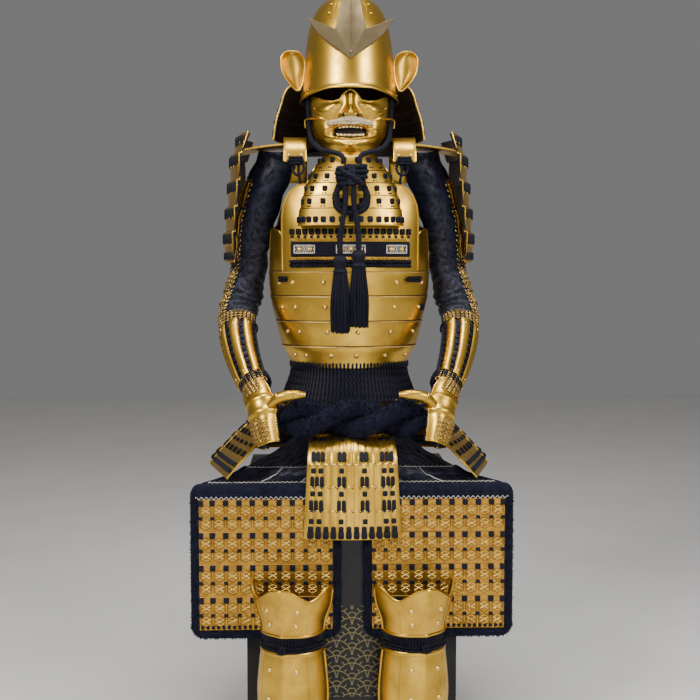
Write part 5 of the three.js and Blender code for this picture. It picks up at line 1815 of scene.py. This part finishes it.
def build_forearms():
    bm = bmesh.new()
    for k in range(5):
        centre = -142.5 + k * 45

        def place(angle, step, out=0):
            tip = clamp((step - 6.95) / 0.25) * clamp((9.62 - step) / 0.18)
            return arm_at(
                angle, step,
                3.2 + out + splint_lift(angle, centre, 15.5) * (0.4 + 0.6 * math.sqrt(tip)),
            )

        shell = level(6.98, 9.56, 26, 1.6)
        plate = form(spread(centre - 15, centre + 15, 10), shell, place, 1.6, None)
        round_edges(plate, 0.5, 1, 60)
        added(bm, plate)
        for step in (7.2, 9.35):
            rivet_at(bm, seat(place, centre, step, 1.4, BY_STEP), 2.6, 1.8, 1)
    pair(bm, "forearm_splints", "gilt rivet", "forearm_guard")
    bm = bmesh.new()
    for step in (7.0, 9.5):
        ring = run_across(arm_at, 0, 360, 40, step, 5.2)
        added(bm, braid(ring, 2.6, 9, 4))
    for k in range(5):
        for step in spread(7.3, 9.2, 7):
            lace_at(bm, seat(arm_at, -120 + k * 45, step, 4.0, BY_STEP), 6, 9, 3)
    pair(bm, "forearm_laces", "lace")
    bm = bmesh.new()
    mail_patch(bm, arm_at, spread(-165, 60, 34), spread(6.6, 7.0, 6), 8, 4.4)
    mail_patch(bm, arm_at, spread(-160, 60, 26), spread(9.55, 10, 8), 8, 4.2)
    pair(bm, "forearm_mail", "mail", least=SOFT)
    bm = bmesh.new()
    for step, radius in ((9.64, 3.2), (9.74, 3.6), (9.84, 3.2)):
        ring = run_across(arm_at, 0, 360, 44, step, 5.2)
        added(bm, braid(ring, radius, 10, 6))
    pair(bm, "wrist_cords", "lace", "wrist_tie")


def hand_lift(angle, step):
    """Two raised knuckle ridges and the roll at the plate's edge."""
    ridges = sum(3.4 * bell(step - at, 0.13) for at in (1.75, 2.45))
    gutters = 1.6 * cosine(angle * 4.8) * clamp((step - 2.5) / 0.5)
    return ridges + gutters


def build_hands():
    def place(angle, step, out=0):
        return hand_at(angle, step, out + (hand_lift(angle, step) if out > 0 else 0))

    rows = level(0, 4, 48, 2)
    bm = form(spread(*HAND_SPAN, 48), rows, place, 2, None, inside=1)
    for angle in HAND_SPAN:
        line(bm, run_along(place, angle, 0, 4, 40, 1.4), 1.9)
    for step in (0.03, 3.98):
        line(bm, run_across(place, *HAND_SPAN, 40, step, 1.4), 1.9)
    thumb = limb_place(THUMB)
    tip = form(spread(0, 360, 24), level(0, 3, 24, 0.6), thumb, 0, None, True)
    ends = [e for e in tip.edges if e.is_boundary]
    bmesh.ops.holes_fill(tip, edges=ends, sides=0)
    added(bm, tip)
    for step in (0.9, 1.9):
        line(bm, run_across(thumb, 0, 360, 26, step, 0.9), 1.2, 1)
    for angle in (-130, -90, -50, -10, 30):
        rivet_at(bm, seat(place, angle, 0.9, 1.6, BY_STEP), 3, 2, 2)
    pair(bm, "hand_plates", "gilt cloth rivet", "hand_guard", least=50)
    bm = bmesh.new()
    mail_patch(bm, place, spread(-135, 10, 18), spread(0.15, 1.25, 9), 8, 3.6)
    mail_patch(bm, place, spread(-120, 0, 14), spread(2.85, 3.8, 9), 7.5, 3.6)
    pair(bm, "hand_mail", "mail", least=SOFT)
    bm = bmesh.new()
    for angle in (-157, 47):
        edge = run_along(hand_at, angle, 0, 4, 30, 1)
        added(bm, braid(edge, 3.2, 10, 6))
    pair(bm, "hand_edging", "lace")


# Skirt, sash and tassets

SKIRT_TOP, SKIRT_FOOT = 834.7, 762
SKIRT_CORDS = 104
SASH_TUFTS = 2100


def build_skirt():
    """Silk cords side by side from the cuirass to the tassets, with laces at their top."""
    bm = form(spread(0, 360, 90), level(SKIRT_FOOT, SKIRT_TOP, 6, 1), torso_at, 2, None, True)
    heights = spread(SKIRT_TOP - 1, SKIRT_FOOT + 1, 12)
    for k in range(SKIRT_CORDS):
        paths = []
        for phase in (0, math.pi):
            path = []
            for z in heights:
                turn = phase + z / 15 * 2 * math.pi
                angle = k * 360 / SKIRT_CORDS + 0.85 * math.cos(turn)
                path.append(torso_at(angle, z, 2.3 + 0.8 * math.sin(turn)))
            paths.append(path)
        added(bm, strands(paths, 1.75, 0))
    for k in range(SKIRT_CORDS):
        angle = (k + 0.5) * 360 / SKIRT_CORDS
        lace_at(bm, seat(torso_at, angle, 839.5, 2.6), 4.6, 11 + 3 * (k % 2), 4)
    solid(bm, "skirt_cords", "lace", "skirt_lacing", least=SOFT)


def sash_at(phase):
    def place(angle, share, out=0):
        taper = mix(1, SASH["end"], (share**2 - 0.5) / 0.5) if share**2 > 0.5 else 1
        turn = phase + share * math.pi * SASH["turns"]
        wave = 0.8 * math.sin(
            share * 60 + math.radians(angle) * 2
        ) + 0.6 * math.sin(share * 23 + math.radians(angle) * 3)
        radius = SASH["radius"] * taper + out + (wave if out else 0)
        across = SASH["orbit"] * taper * math.sin(turn) + radius * cosine(angle)
        up = SASH["orbit"] * taper * math.cos(turn) + radius * sine(angle)
        return Vector((share * SASH["half"], SASH["y"] + across, SASH["z"] + up))

    return place


def build_sash():
    rng = random.Random(SEED)
    for name, phase in (("a", 0), ("b", math.pi)):
        place = sash_at(phase)
        bm = form(spread(0, 360, 40), level(-1, 1, 110, -0.4), place, 0, None, True)
        bmesh.ops.holes_fill(bm, edges=[e for e in bm.edges if e.is_boundary], sides=0)
        bmesh.ops.recalc_face_normals(bm, faces=bm.faces)
        tufts = []
        for _ in range(SASH_TUFTS):
            angle, share = rng.uniform(0, 360), rng.uniform(-0.99, 0.99)
            root = place(angle, share, -1.2)
            tip = place(
                angle + rng.uniform(-14, 14), share + rng.uniform(-0.03, 0.03),
                rng.uniform(2.6, 4.8),
            )
            tufts.append([root, tip])
        added(bm, strands(tufts, 1.5, 0, lambda share: 1 - 0.75 * share))
        solid(bm, f"sash_strand_{name}", "plush", f"sash_twist_{name}", least=70)


def scale_lames(bm, place, ends, lames, count, fall, ledge, across, raised=1.3):
    """Laced lames of round headed scales: each is one grid with its scales' crowns and heads."""
    columns = spread(ends[0], ends[1], count * across)
    for top, bottom in lames:
        def scale(column, share, out=0):
            place_in = (column - ends[0]) / (ends[1] - ends[0]) * count
            u = 2 * (place_in - math.floor(place_in + 1e-9)) - 1
            round_head = math.sqrt(max(0, 1 - 0.9 * u * u))
            first = top + fall * (1 - round_head)
            crown = raised * round_head if out > 0 else 0
            return place(column, mix(first, bottom, share), out + crown)

        rows = [(share, 2 + ledge * (1 - share)) for share in (0, 0.04, 0.12, 0.3, 0.5, 0.75, 1)]
        added(bm, form(columns, rows, scale, 1.8, None))
        # A raised bead along the scale heads in the brighter rivet gold: the bead is real relief,
        # and its brighter gold is painted highlight of the light caught on the heads' edges.
        line(bm, [scale(column, 0, 2.2 + ledge) for column in columns], 0.9, 0, 1)
    return bm


def build_front_tasset():
    bm = bmesh.new()
    lames = list(zip([0.6, 3.45, 5.9, 6.93, 7.93], [3.6, 6.02, 7.0, 8.0, 9.9]))
    scale_lames(bm, tasset_at, (-1, 1), lames, 12, 0.2, 3.6, 6, 2)
    seams = [run_across(tasset_at, -0.98, 0.98, 40, top - 0.04, 2.6) for top, _ in lames[1:]]
    dark_seams(bm, seams, 2)
    for side in (-1, 1):
        line(bm, run_along(tasset_at, side, 0.65, 9.85, 60, 1.6), 2.0)
    line(bm, run_across(tasset_at, -1, 1, 40, 9.9, 1.2), 2.0)
    solid(bm, "front_tasset", "gilt rivet inside", "tasset_front", least=55)
    bm = bmesh.new()
    for top, bottom, long in zip(TASSET_LAMES, TASSET_LAMES[1:], (18, 21, 23, 25, 0)):
        high, low = mix(top, bottom, 0.24), mix(top, bottom, 0.74)
        for share in TASSET_HIGH_LACES:
            lace_at(bm, seat(tasset_at, share, high, 3.4, BY_SHARES), 10, 11, 5)
        if long:
            for share in TASSET_LOW_LACES:
                lace_at(bm, seat(tasset_at, share, low, 2.2, BY_SHARES), 8.2, long, 6)
    # A navy sheet over the tasset's top lame, from step 0.02 to 3.15, is painted shade: it darkens
    # the top of the tasset where the sash shades it.
    added(
        bm, form(spread(-1, 1, 30), level(0.02, 3.15, 30, 8), tasset_at, 1.6, Vector((0, 0, 600))),
    )
    for k in range(12):
        share = -0.95 + 1.9 * (k + 0.5) / 12
        for step, wide, tall in ((8.98, 10.5, 13), (9.45, 12.5, 16)):
            lace_at(bm, seat(tasset_at, share, step, 2.6, BY_SHARES), wide, tall, 6.5)
    solid(bm, "front_tasset_laces_and_shade_sheet", "lace")


def build_side_tassets():
    for name, (start, end, near, far) in SIDE_TASSETS.items():
        place = side_tasset_place(start, end, near, far)
        bm = bmesh.new()
        lames = [(0.005, 0.22), (0.19, 0.42), (0.39, 0.62), (0.59, 0.82), (0.79, 0.995)]
        scale_lames(bm, place, (0, 1), lames, 10, 0.03, 3, 4)
        for side in (0, 1):
            line(bm, run_along(place, side, 0.01, 0.99, 30, 1.6), 1.9)
        line(bm, run_across(place, 0, 1, 30, 0.992, 1.4), 1.9)
        pair(bm, f"{name}_lames", "gilt rivet", name, least=55)
        bm = bmesh.new()
        for step in (0.2, 0.4, 0.6, 0.8):
            for share in (0.1, 0.3, 0.5, 0.7, 0.9):
                lace_at(bm, seat(place, share, step - 0.04, 2.6, BY_SHARES), 12, 15, 5)
                lace_at(bm, seat(place, share, step - 0.135, 3.4, BY_SHARES), 10, 9, 5)
        for step in (0.87, 0.935):
            line(bm, run_across(place, 0.03, 0.97, 40, step, 4.4), 5.5)
        pair(bm, f"{name}_laces", "lace")


# Thighs

FIELD = {"columns": 10, "rows": 4}
BORDER_TUFTS = 1700


def lap_fold(share, step):
    """Low creases of the cloth where it lies on the lid."""
    if not 0.05 < step < 4.9:
        return 0.0
    fade = math.sin(math.pi * clamp((step - 0.05) / 4.85)) ** 0.6
    crease = math.sin(share * 9 - step * 3.1 + 1.3 * math.sin(share * 4)) ** 2
    return fade * (1.1 * crease + 0.4 * math.sin(share * 23 + step * 5))


def lap_cloth_at(share, step, out=0):
    return lap_at(share, step, out + (lap_fold(share, step) if out > 0 else 0))


def build_lap():
    rows = [(step, 2.6) for step in spread(0, 5, 46) + [5.5, 6, 6.5, 7, 7.5, 8, 8.5, 9]]
    bm = form(spread(-1, 1, 92), rows, lap_cloth_at, 2.4, Vector((0, 200, 400)))
    piece = solid(bm, "lap_cloth", "cloth", "thigh_lap", least=SOFT)
    rows = [(4.86, 3), (4.9, 4.6), (5, 5.2), (5.5, 5.6), (6, 5.8)] + level(6.5, 9, 5, 6)
    bm = form(spread(-1, 1, 90), rows, lap_at, 2, Vector((0, 200, 400)))
    for side in (-1, 1):
        line(bm, run_along(lap_cloth_at, side * 0.985, 2, 4.95, 24, 3), 4)
    solid(bm, "lap_border", "plush", least=SOFT)
    bm = bmesh.new()
    runs = [
        run_across(lap_cloth_at, -0.97, 0.97, 120, 4.8, 3.6),
        run_across(lap_cloth_at, -0.95, 0.95, 90, 2.15, 3.2),
    ]
    for share in (-0.34, -0.62, 0.34, 0.62):
        runs.append(run_along(lap_cloth_at, share, 2.3, 4.7, 20, 3.4))
    for run in runs:
        path = []
        for k, point in enumerate(run):
            along = (run[min(k + 1, len(run) - 1)] - run[max(k - 1, 0)]).normalized()
            aside = along.cross(UP if abs(along.z) < 0.8 else FRONT).normalized()
            way = 1 if k % 2 else -1
            path.append(point + aside * (2.4 * way) + UP * (1.4 - 1.6 * way * aside.y))
        line(bm, path, 1.0, 0)
    solid(bm, "lap_stitching", "stitch", least=SOFT)


def rounded_outline(x0, x1, z0, z1, radius):
    """The outline of a hanging cloth, its two lower corners rounded, from its top inner corner."""
    path = [(x0, z1)]
    path += [(x0, z) for z in spread(z1, z0 + radius, 14)[1:]]
    for turn in spread(0, math.pi / 2, 8)[1:]:
        path.append((x0 + radius - radius * math.cos(turn), z0 + radius - radius * math.sin(turn)))
    path += [(x, z0) for x in spread(x0 + radius, x1 - radius, 16)[1:]]
    for turn in spread(0, math.pi / 2, 8)[1:]:
        path.append((x1 - radius + radius * math.sin(turn), z0 + radius - radius * math.cos(turn)))
    path += [(x1, z) for z in spread(z0 + radius, z1, 14)[1:]]
    return path


def thigh_at(x, z, out=0):
    low = (586 - z) / 308
    sway = 1.2 * math.sin(x / 52 + 1) * low if out else 0
    return Vector((x, THIGH["y"] - out - sway * 0.5, z))


def cloth_corner(x, z):
    """Draws the lower corners of the hanging cloth in to a round."""
    radius = 26
    for edge, way in ((THIGH["inner"], 1), (THIGH["outer"], -1)):
        across, down = (x - edge) * way, z - THIGH["bottom"]
        if across < radius and down < radius:
            corner = Vector((radius - across, radius - down))
            scaled = corner.normalized() * max(corner)
            x = edge + way * (radius - scaled.x)
            z = THIGH["bottom"] + radius - scaled.y
    return x, z


def build_thigh_cloth():
    def place(x, z, out=0):
        return thigh_at(*cloth_corner(x, z), out)

    columns = spread(THIGH["inner"], THIGH["outer"], 44)
    rows = level(THIGH["bottom"], THIGH["top"], 40, 2.6)
    bm = form(columns, rows, place, 2.4, Vector((180, 0, 430)))
    for piece in pair(bm, "thigh_damask", "cloth", "thigh_cloth", least=SOFT):
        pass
    outline = rounded_outline(
        THIGH["inner"] + 6, THIGH["outer"] - 6, THIGH["bottom"] + 6, THIGH["top"] + 1, 20,
    )
    path = smooth_path([(x, THIGH["y"] - 4.5, z) for x, z in outline], 240)
    bm = strands([path], 7, 3)
    rng = random.Random(SEED)
    tufts = []
    for _ in range(BORDER_TUFTS):
        k = rng.randrange(2, len(path) - 2)
        tangent = (path[k + 1] - path[k - 1]).normalized()
        side = tangent.cross(FRONT)
        turn = rng.uniform(-1.5, 1.5)
        away = FRONT * math.cos(turn) + side * math.sin(turn)
        spot = path[k] + tangent * rng.uniform(-2, 2)
        lean = Vector((rng.uniform(-1, 1), 0, rng.uniform(-1.4, 0.4)))
        tufts.append([spot + away * 5.6, spot + away * 9.2 + lean])
    added(bm, strands(tufts, 1.1, 0, lambda share: 1 - 0.75 * share))
    pair(bm, "thigh_border", "plush", least=70)
    bm = form(
        spread(THIGH["inner"], THIGH["outer"], 30),
        [(573, 6), (579, 6), (584, 6), (586.2, 5.6), (588.5, 3.4)], thigh_at, 2.4,
    )
    pair(bm, "thigh_band", "plush", least=SOFT)
    bm = bmesh.new()
    zigzagged = enumerate(spread(30, 330, 58))
    line(bm, [thigh_at(x, 575.5 + (2.8 if k % 2 else -2.8), 9.4) for k, x in zigzagged], 0.8, 0)
    pair(bm, "thigh_stitching", "stitch", least=SOFT)


SCALE_ROW = {"square": 0.10, "first": 0.34, "dot": 0.565, "second": 0.745}


def scale_spots():
    """Middles of the rosettes, the squares and the dots, in the thigh guard's field."""
    wide = (SCALES["outer"] - SCALES["inner"]) / FIELD["columns"]
    tall = (SCALES["top"] - SCALES["bottom"]) / FIELD["rows"]
    for j in range(FIELD["rows"]):
        top = SCALES["top"] - j * tall
        for i in range(FIELD["columns"] + 1):
            between = SCALES["inner"] + i * wide
            if i < FIELD["columns"]:
                for share in ("first", "second"):
                    yield "rosette", between + wide / 2, top - SCALE_ROW[share] * tall
            for kind in ("square", "dot"):
                yield kind, between, top - SCALE_ROW[kind] * tall


def build_thigh_scales():
    columns = spread(SCALES["inner"], SCALES["outer"], 20)
    bm = form(
        columns, level(SCALES["bottom"], SCALES["top"], 20, 4.4), thigh_at, 1,
        Vector((180, 0, 430)),
    )
    lines, rims = [], []
    for kind, x, z in scale_spots():
        if kind != "rosette":
            continue
        corners = [(cosine(60 * k + 30), sine(60 * k + 30)) for k in range(7)]
        lines.append([thigh_at(x + 10.2 * c, z + 9.4 * s, 6.4) for c, s in corners])
        rims.append([thigh_at(x + 13.6 * c, z + 13 * s, 4.8) for c, s in corners])
        for k in range(3):
            (c0, s0), (c1, s1) = corners[k], corners[k + 3]
            lines.append(
                [
                    thigh_at(x + 9 * c0, z + 8 * s0, 6.2), thigh_at(x, z, 7.4),
                    thigh_at(x + 9 * c1, z + 8 * s1, 6.2),
                ],
            )
        spot = seat(thigh_at, x, z, 5)
        stamp(bm, SHAPES["knob"], spot @ sized(2.4, 2.4, 4.0), 1)
    added(bm, strands(lines, 0.9, 0), 1)
    added(bm, strands(rims, 0.7, 0), 0)
    for z in spread(SCALES["top"], SCALES["bottom"], FIELD["rows"]):
        line(bm, run_across(thigh_at, SCALES["inner"], SCALES["outer"], 30, z, 4.6), 1.6, 1)
    pair(bm, "thigh_scale_rows", "gilt_scale wire", "thigh_scales", least=40)
    bm = bmesh.new()
    for kind, x, z in scale_spots():
        at = clamp(x, SCALES["inner"] + 3, SCALES["outer"] - 3)
        if kind == "square":
            lace_at(bm, seat(thigh_at, at, z, 4), 11.5, 13, 4)
        elif kind == "dot":
            lace_at(bm, seat(thigh_at, at, z, 4), 9, 7, 4)
    for x in spread(SCALES["inner"] + 6, SCALES["outer"] - 6, 24):
        lace_at(bm, seat(thigh_at, x, SCALES["bottom"] + 5, 4), 7, 6, 4)
    pair(bm, "thigh_lacing", "lace")


# Shins

KNEE_RIVETS = [(angle, z) for z in (364, 334) for angle in (-24, 24)]
SHIN_RIVETS = [(angle, z) for z in (240, 120, 180, 60) for angle in (-24, 24)]


def knee_at(angle, share, out=0):
    top = row_at(KNEE_TOP, abs(angle))[1]
    return shin_at(angle, mix(309.6, top, share), out)


def build_shins():
    columns = spread(*SHIN_SPAN, 66)
    rows = [(share, 2 + 0.6 * share) for share in spread(0, 1, 34)]
    bm = form(columns, rows, knee_at, 2, Vector((*SHIN_PLACE[:2], 360)), inside=1)
    rims = [
        run_across(knee_at, *SHIN_SPAN, 90, 1, 2),
        run_across(knee_at, *SHIN_SPAN, 70, 0.02, 1.6),
        run_along(knee_at, -90, 0, 1, 14, 1.4),
        run_along(knee_at, 90, 0, 1, 14, 1.4),
    ]
    for rim in rims:
        line(bm, rim, 3.2)
    for angle in (-44, 44):
        line(bm, run_along(knee_at, angle, 0, 0.98, 20, 2.2), 1.2, 1)
    for angle, z in KNEE_RIVETS:
        rivet_at(bm, seat(shin_at, angle, z, 2.2), *SHIN_RIVET, 2)
    finishes = "gilt inside rivet"
    pair(bm, "knee_plate", finishes, "knee_cup")
    rows = level(0, 268, 44, 2) + [(270, 3.4), (272, 4), (275, 4), (276.6, 3)]
    bm = form(columns, rows, shin_at, 2, Vector((*SHIN_PLACE[:2], 140)), inside=1)
    for side in SHIN_SPAN:
        line(bm, run_along(shin_at, side, 4, 274, 40, 1.4), 3)
    line(bm, run_across(shin_at, *SHIN_SPAN, 70, 3.2, 1.4), 3)
    for angle in (-44, 44):
        line(bm, run_along(shin_at, angle, 3, 270, 50, 2.2), 1.2, 1)
    for angle, z in SHIN_RIVETS:
        rivet_at(bm, seat(shin_at, angle, z, 2.2), *SHIN_RIVET, 2)
    pair(bm, "shin_shell", finishes, "shin_plate")
    bm = form(columns, level(277.2, 309, 12, 1.6), shin_at, 1.6, Vector((*SHIN_PLACE[:2], 290)))
    for k in range(33):
        angle = -88 + k * 5.5
        rib = [
            shin_at(angle + (1.2 if i % 2 else -1.2), z, 2.6)
            for i, z in enumerate(spread(290, 308, 6))
        ]
        line(bm, rib, 2.0, 0)
    turns = spread(*SHIN_SPAN, 60)
    for z in (281, 287):
        tie = [shin_at(angle, z + 1.2 * math.sin(angle / 14), 4.4) for angle in turns]
        added(bm, braid(tie, 3.4, 12, 4))
    for z in (279, 284, 289):
        knot = run_across(shin_at, -7, 7, 8, z, 8)
        added(bm, braid(knot, 3.2, 9, 6))
    pair(bm, "shin_ties", "lace", "shin_tie")


# Chest and stand

def build_display():
    for node, finish in (("chest_lid", "lacquer"), ("chest_body", "waves")):
        bm = copied(node)
        round_edges(bm, 1.6, 3, 40)
        solid(bm, f"{node}_lacquered", finish, node)
    for node in ("stand_frame", "helmet_rest"):
        bm = copied(node)
        round_edges(bm, 1.2, 2, 40)
        solid(bm, f"{node}_rounded", "wood", node)


# Operators, one for each piece or group of like pieces

class ARMOUR_OT_finishes(bpy.types.Operator):
    """Make the lacquers, silks and cloths"""

    bl_idname = "armour.finishes"
    bl_label = "Finishes"

    def execute(self, context):
        make_finishes()
        make_shapes()
        return {"FINISHED"}


class ARMOUR_OT_stage(bpy.types.Operator):
    """Set up camera, floor and lights"""

    bl_idname = "armour.stage"
    bl_label = "Stage"

    def execute(self, context):
        make_stage()
        return {"FINISHED"}


class ARMOUR_OT_cords(bpy.types.Operator):
    """Make the helmet cord, its knot and its tassels"""

    bl_idname = "armour.cords"
    bl_label = "Cords"

    def execute(self, context):
        build_cords()
        return {"FINISHED"}


class ARMOUR_OT_helmet(bpy.types.Operator):
    """Make the helmet bowl, crest, ears and neck guard"""

    bl_idname = "armour.helmet"
    bl_label = "Helmet"

    def execute(self, context):
        build_helmet()
        build_crest()
        build_ears()
        build_neck_guard()
        return {"FINISHED"}


class ARMOUR_OT_mask(bpy.types.Operator):
    """Make the war mask and its throat guard"""

    bl_idname = "armour.mask"
    bl_label = "Mask"

    def execute(self, context):
        build_mask()
        build_moustache()
        build_throat()
        return {"FINISHED"}


class ARMOUR_OT_cuirass(bpy.types.Operator):
    """Make the cuirass and its chest lacing"""

    bl_idname = "armour.cuirass"
    bl_label = "Cuirass"

    def execute(self, context):
        build_cuirass()
        build_chest_plate()
        build_chest_lacing()
        return {"FINISHED"}


class ARMOUR_OT_shoulders(bpy.types.Operator):
    """Make the straps, wings and shoulder guards"""

    bl_idname = "armour.shoulders"
    bl_label = "Shoulders"

    def execute(self, context):
        build_straps()
        build_shoulders()
        build_wings()
        return {"FINISHED"}


class ARMOUR_OT_arms(bpy.types.Operator):
    """Make the sleeves, forearm guards and hand guards"""

    bl_idname = "armour.arms"
    bl_label = "Arms"

    def execute(self, context):
        build_sleeves()
        build_yokes()
        build_forearms()
        build_hands()
        return {"FINISHED"}


class ARMOUR_OT_skirt(bpy.types.Operator):
    """Make the skirt cords, sash and tassets"""

    bl_idname = "armour.skirt"
    bl_label = "Skirt"

    def execute(self, context):
        build_skirt()
        build_sash()
        build_front_tasset()
        build_side_tassets()
        return {"FINISHED"}


class ARMOUR_OT_thighs(bpy.types.Operator):
    """Make the lap, the thigh cloths and their scales"""

    bl_idname = "armour.thighs"
    bl_label = "Thighs"

    def execute(self, context):
        build_lap()
        build_thigh_cloth()
        build_thigh_scales()
        return {"FINISHED"}


class ARMOUR_OT_shins(bpy.types.Operator):
    """Make the knee cups, ties and shin guards"""

    bl_idname = "armour.shins"
    bl_label = "Shins"

    def execute(self, context):
        build_shins()
        return {"FINISHED"}


class ARMOUR_OT_display(bpy.types.Operator):
    """Make the chest and the stand"""

    bl_idname = "armour.display"
    bl_label = "Display"

    def execute(self, context):
        build_display()
        return {"FINISHED"}


STEPS = [
    ARMOUR_OT_finishes,
    ARMOUR_OT_stage,
    ARMOUR_OT_cords,
    ARMOUR_OT_helmet,
    ARMOUR_OT_mask,
    ARMOUR_OT_cuirass,
    ARMOUR_OT_shoulders,
    ARMOUR_OT_arms,
    ARMOUR_OT_skirt,
    ARMOUR_OT_thighs,
    ARMOUR_OT_shins,
    ARMOUR_OT_display,
]


class ARMOUR_PT_pieces(bpy.types.Panel):
    """Lists the armour's pieces in the sidebar."""

    bl_label = "Samurai armour"
    bl_idname = "ARMOUR_PT_pieces"
    bl_space_type = "VIEW_3D"
    bl_region_type = "UI"
    bl_category = "Armour"

    def draw(self, context):
        for name in ("gold", "gold_shade", "navy", "cloth"):
            self.layout.prop(context.scene.armour_looks, name)
        for step in STEPS:
            self.layout.operator(step.bl_idname)


CLASSES = [ArmourLooks, *STEPS, ARMOUR_PT_pieces]


def register():
    for kind in CLASSES:
        bpy.utils.register_class(kind)
    bpy.types.Scene.armour_looks = bpy.props.PointerProperty(type=ArmourLooks)


def unregister():
    del bpy.types.Scene.armour_looks
    for kind in reversed(CLASSES):
        bpy.utils.unregister_class(kind)


def main():
    register()
    for step in STEPS:
        group, name = step.bl_idname.split(".")
        getattr(getattr(bpy.ops, group), name)()
    bpy.context.view_layer.update()


if __name__ == "__main__":
    main()
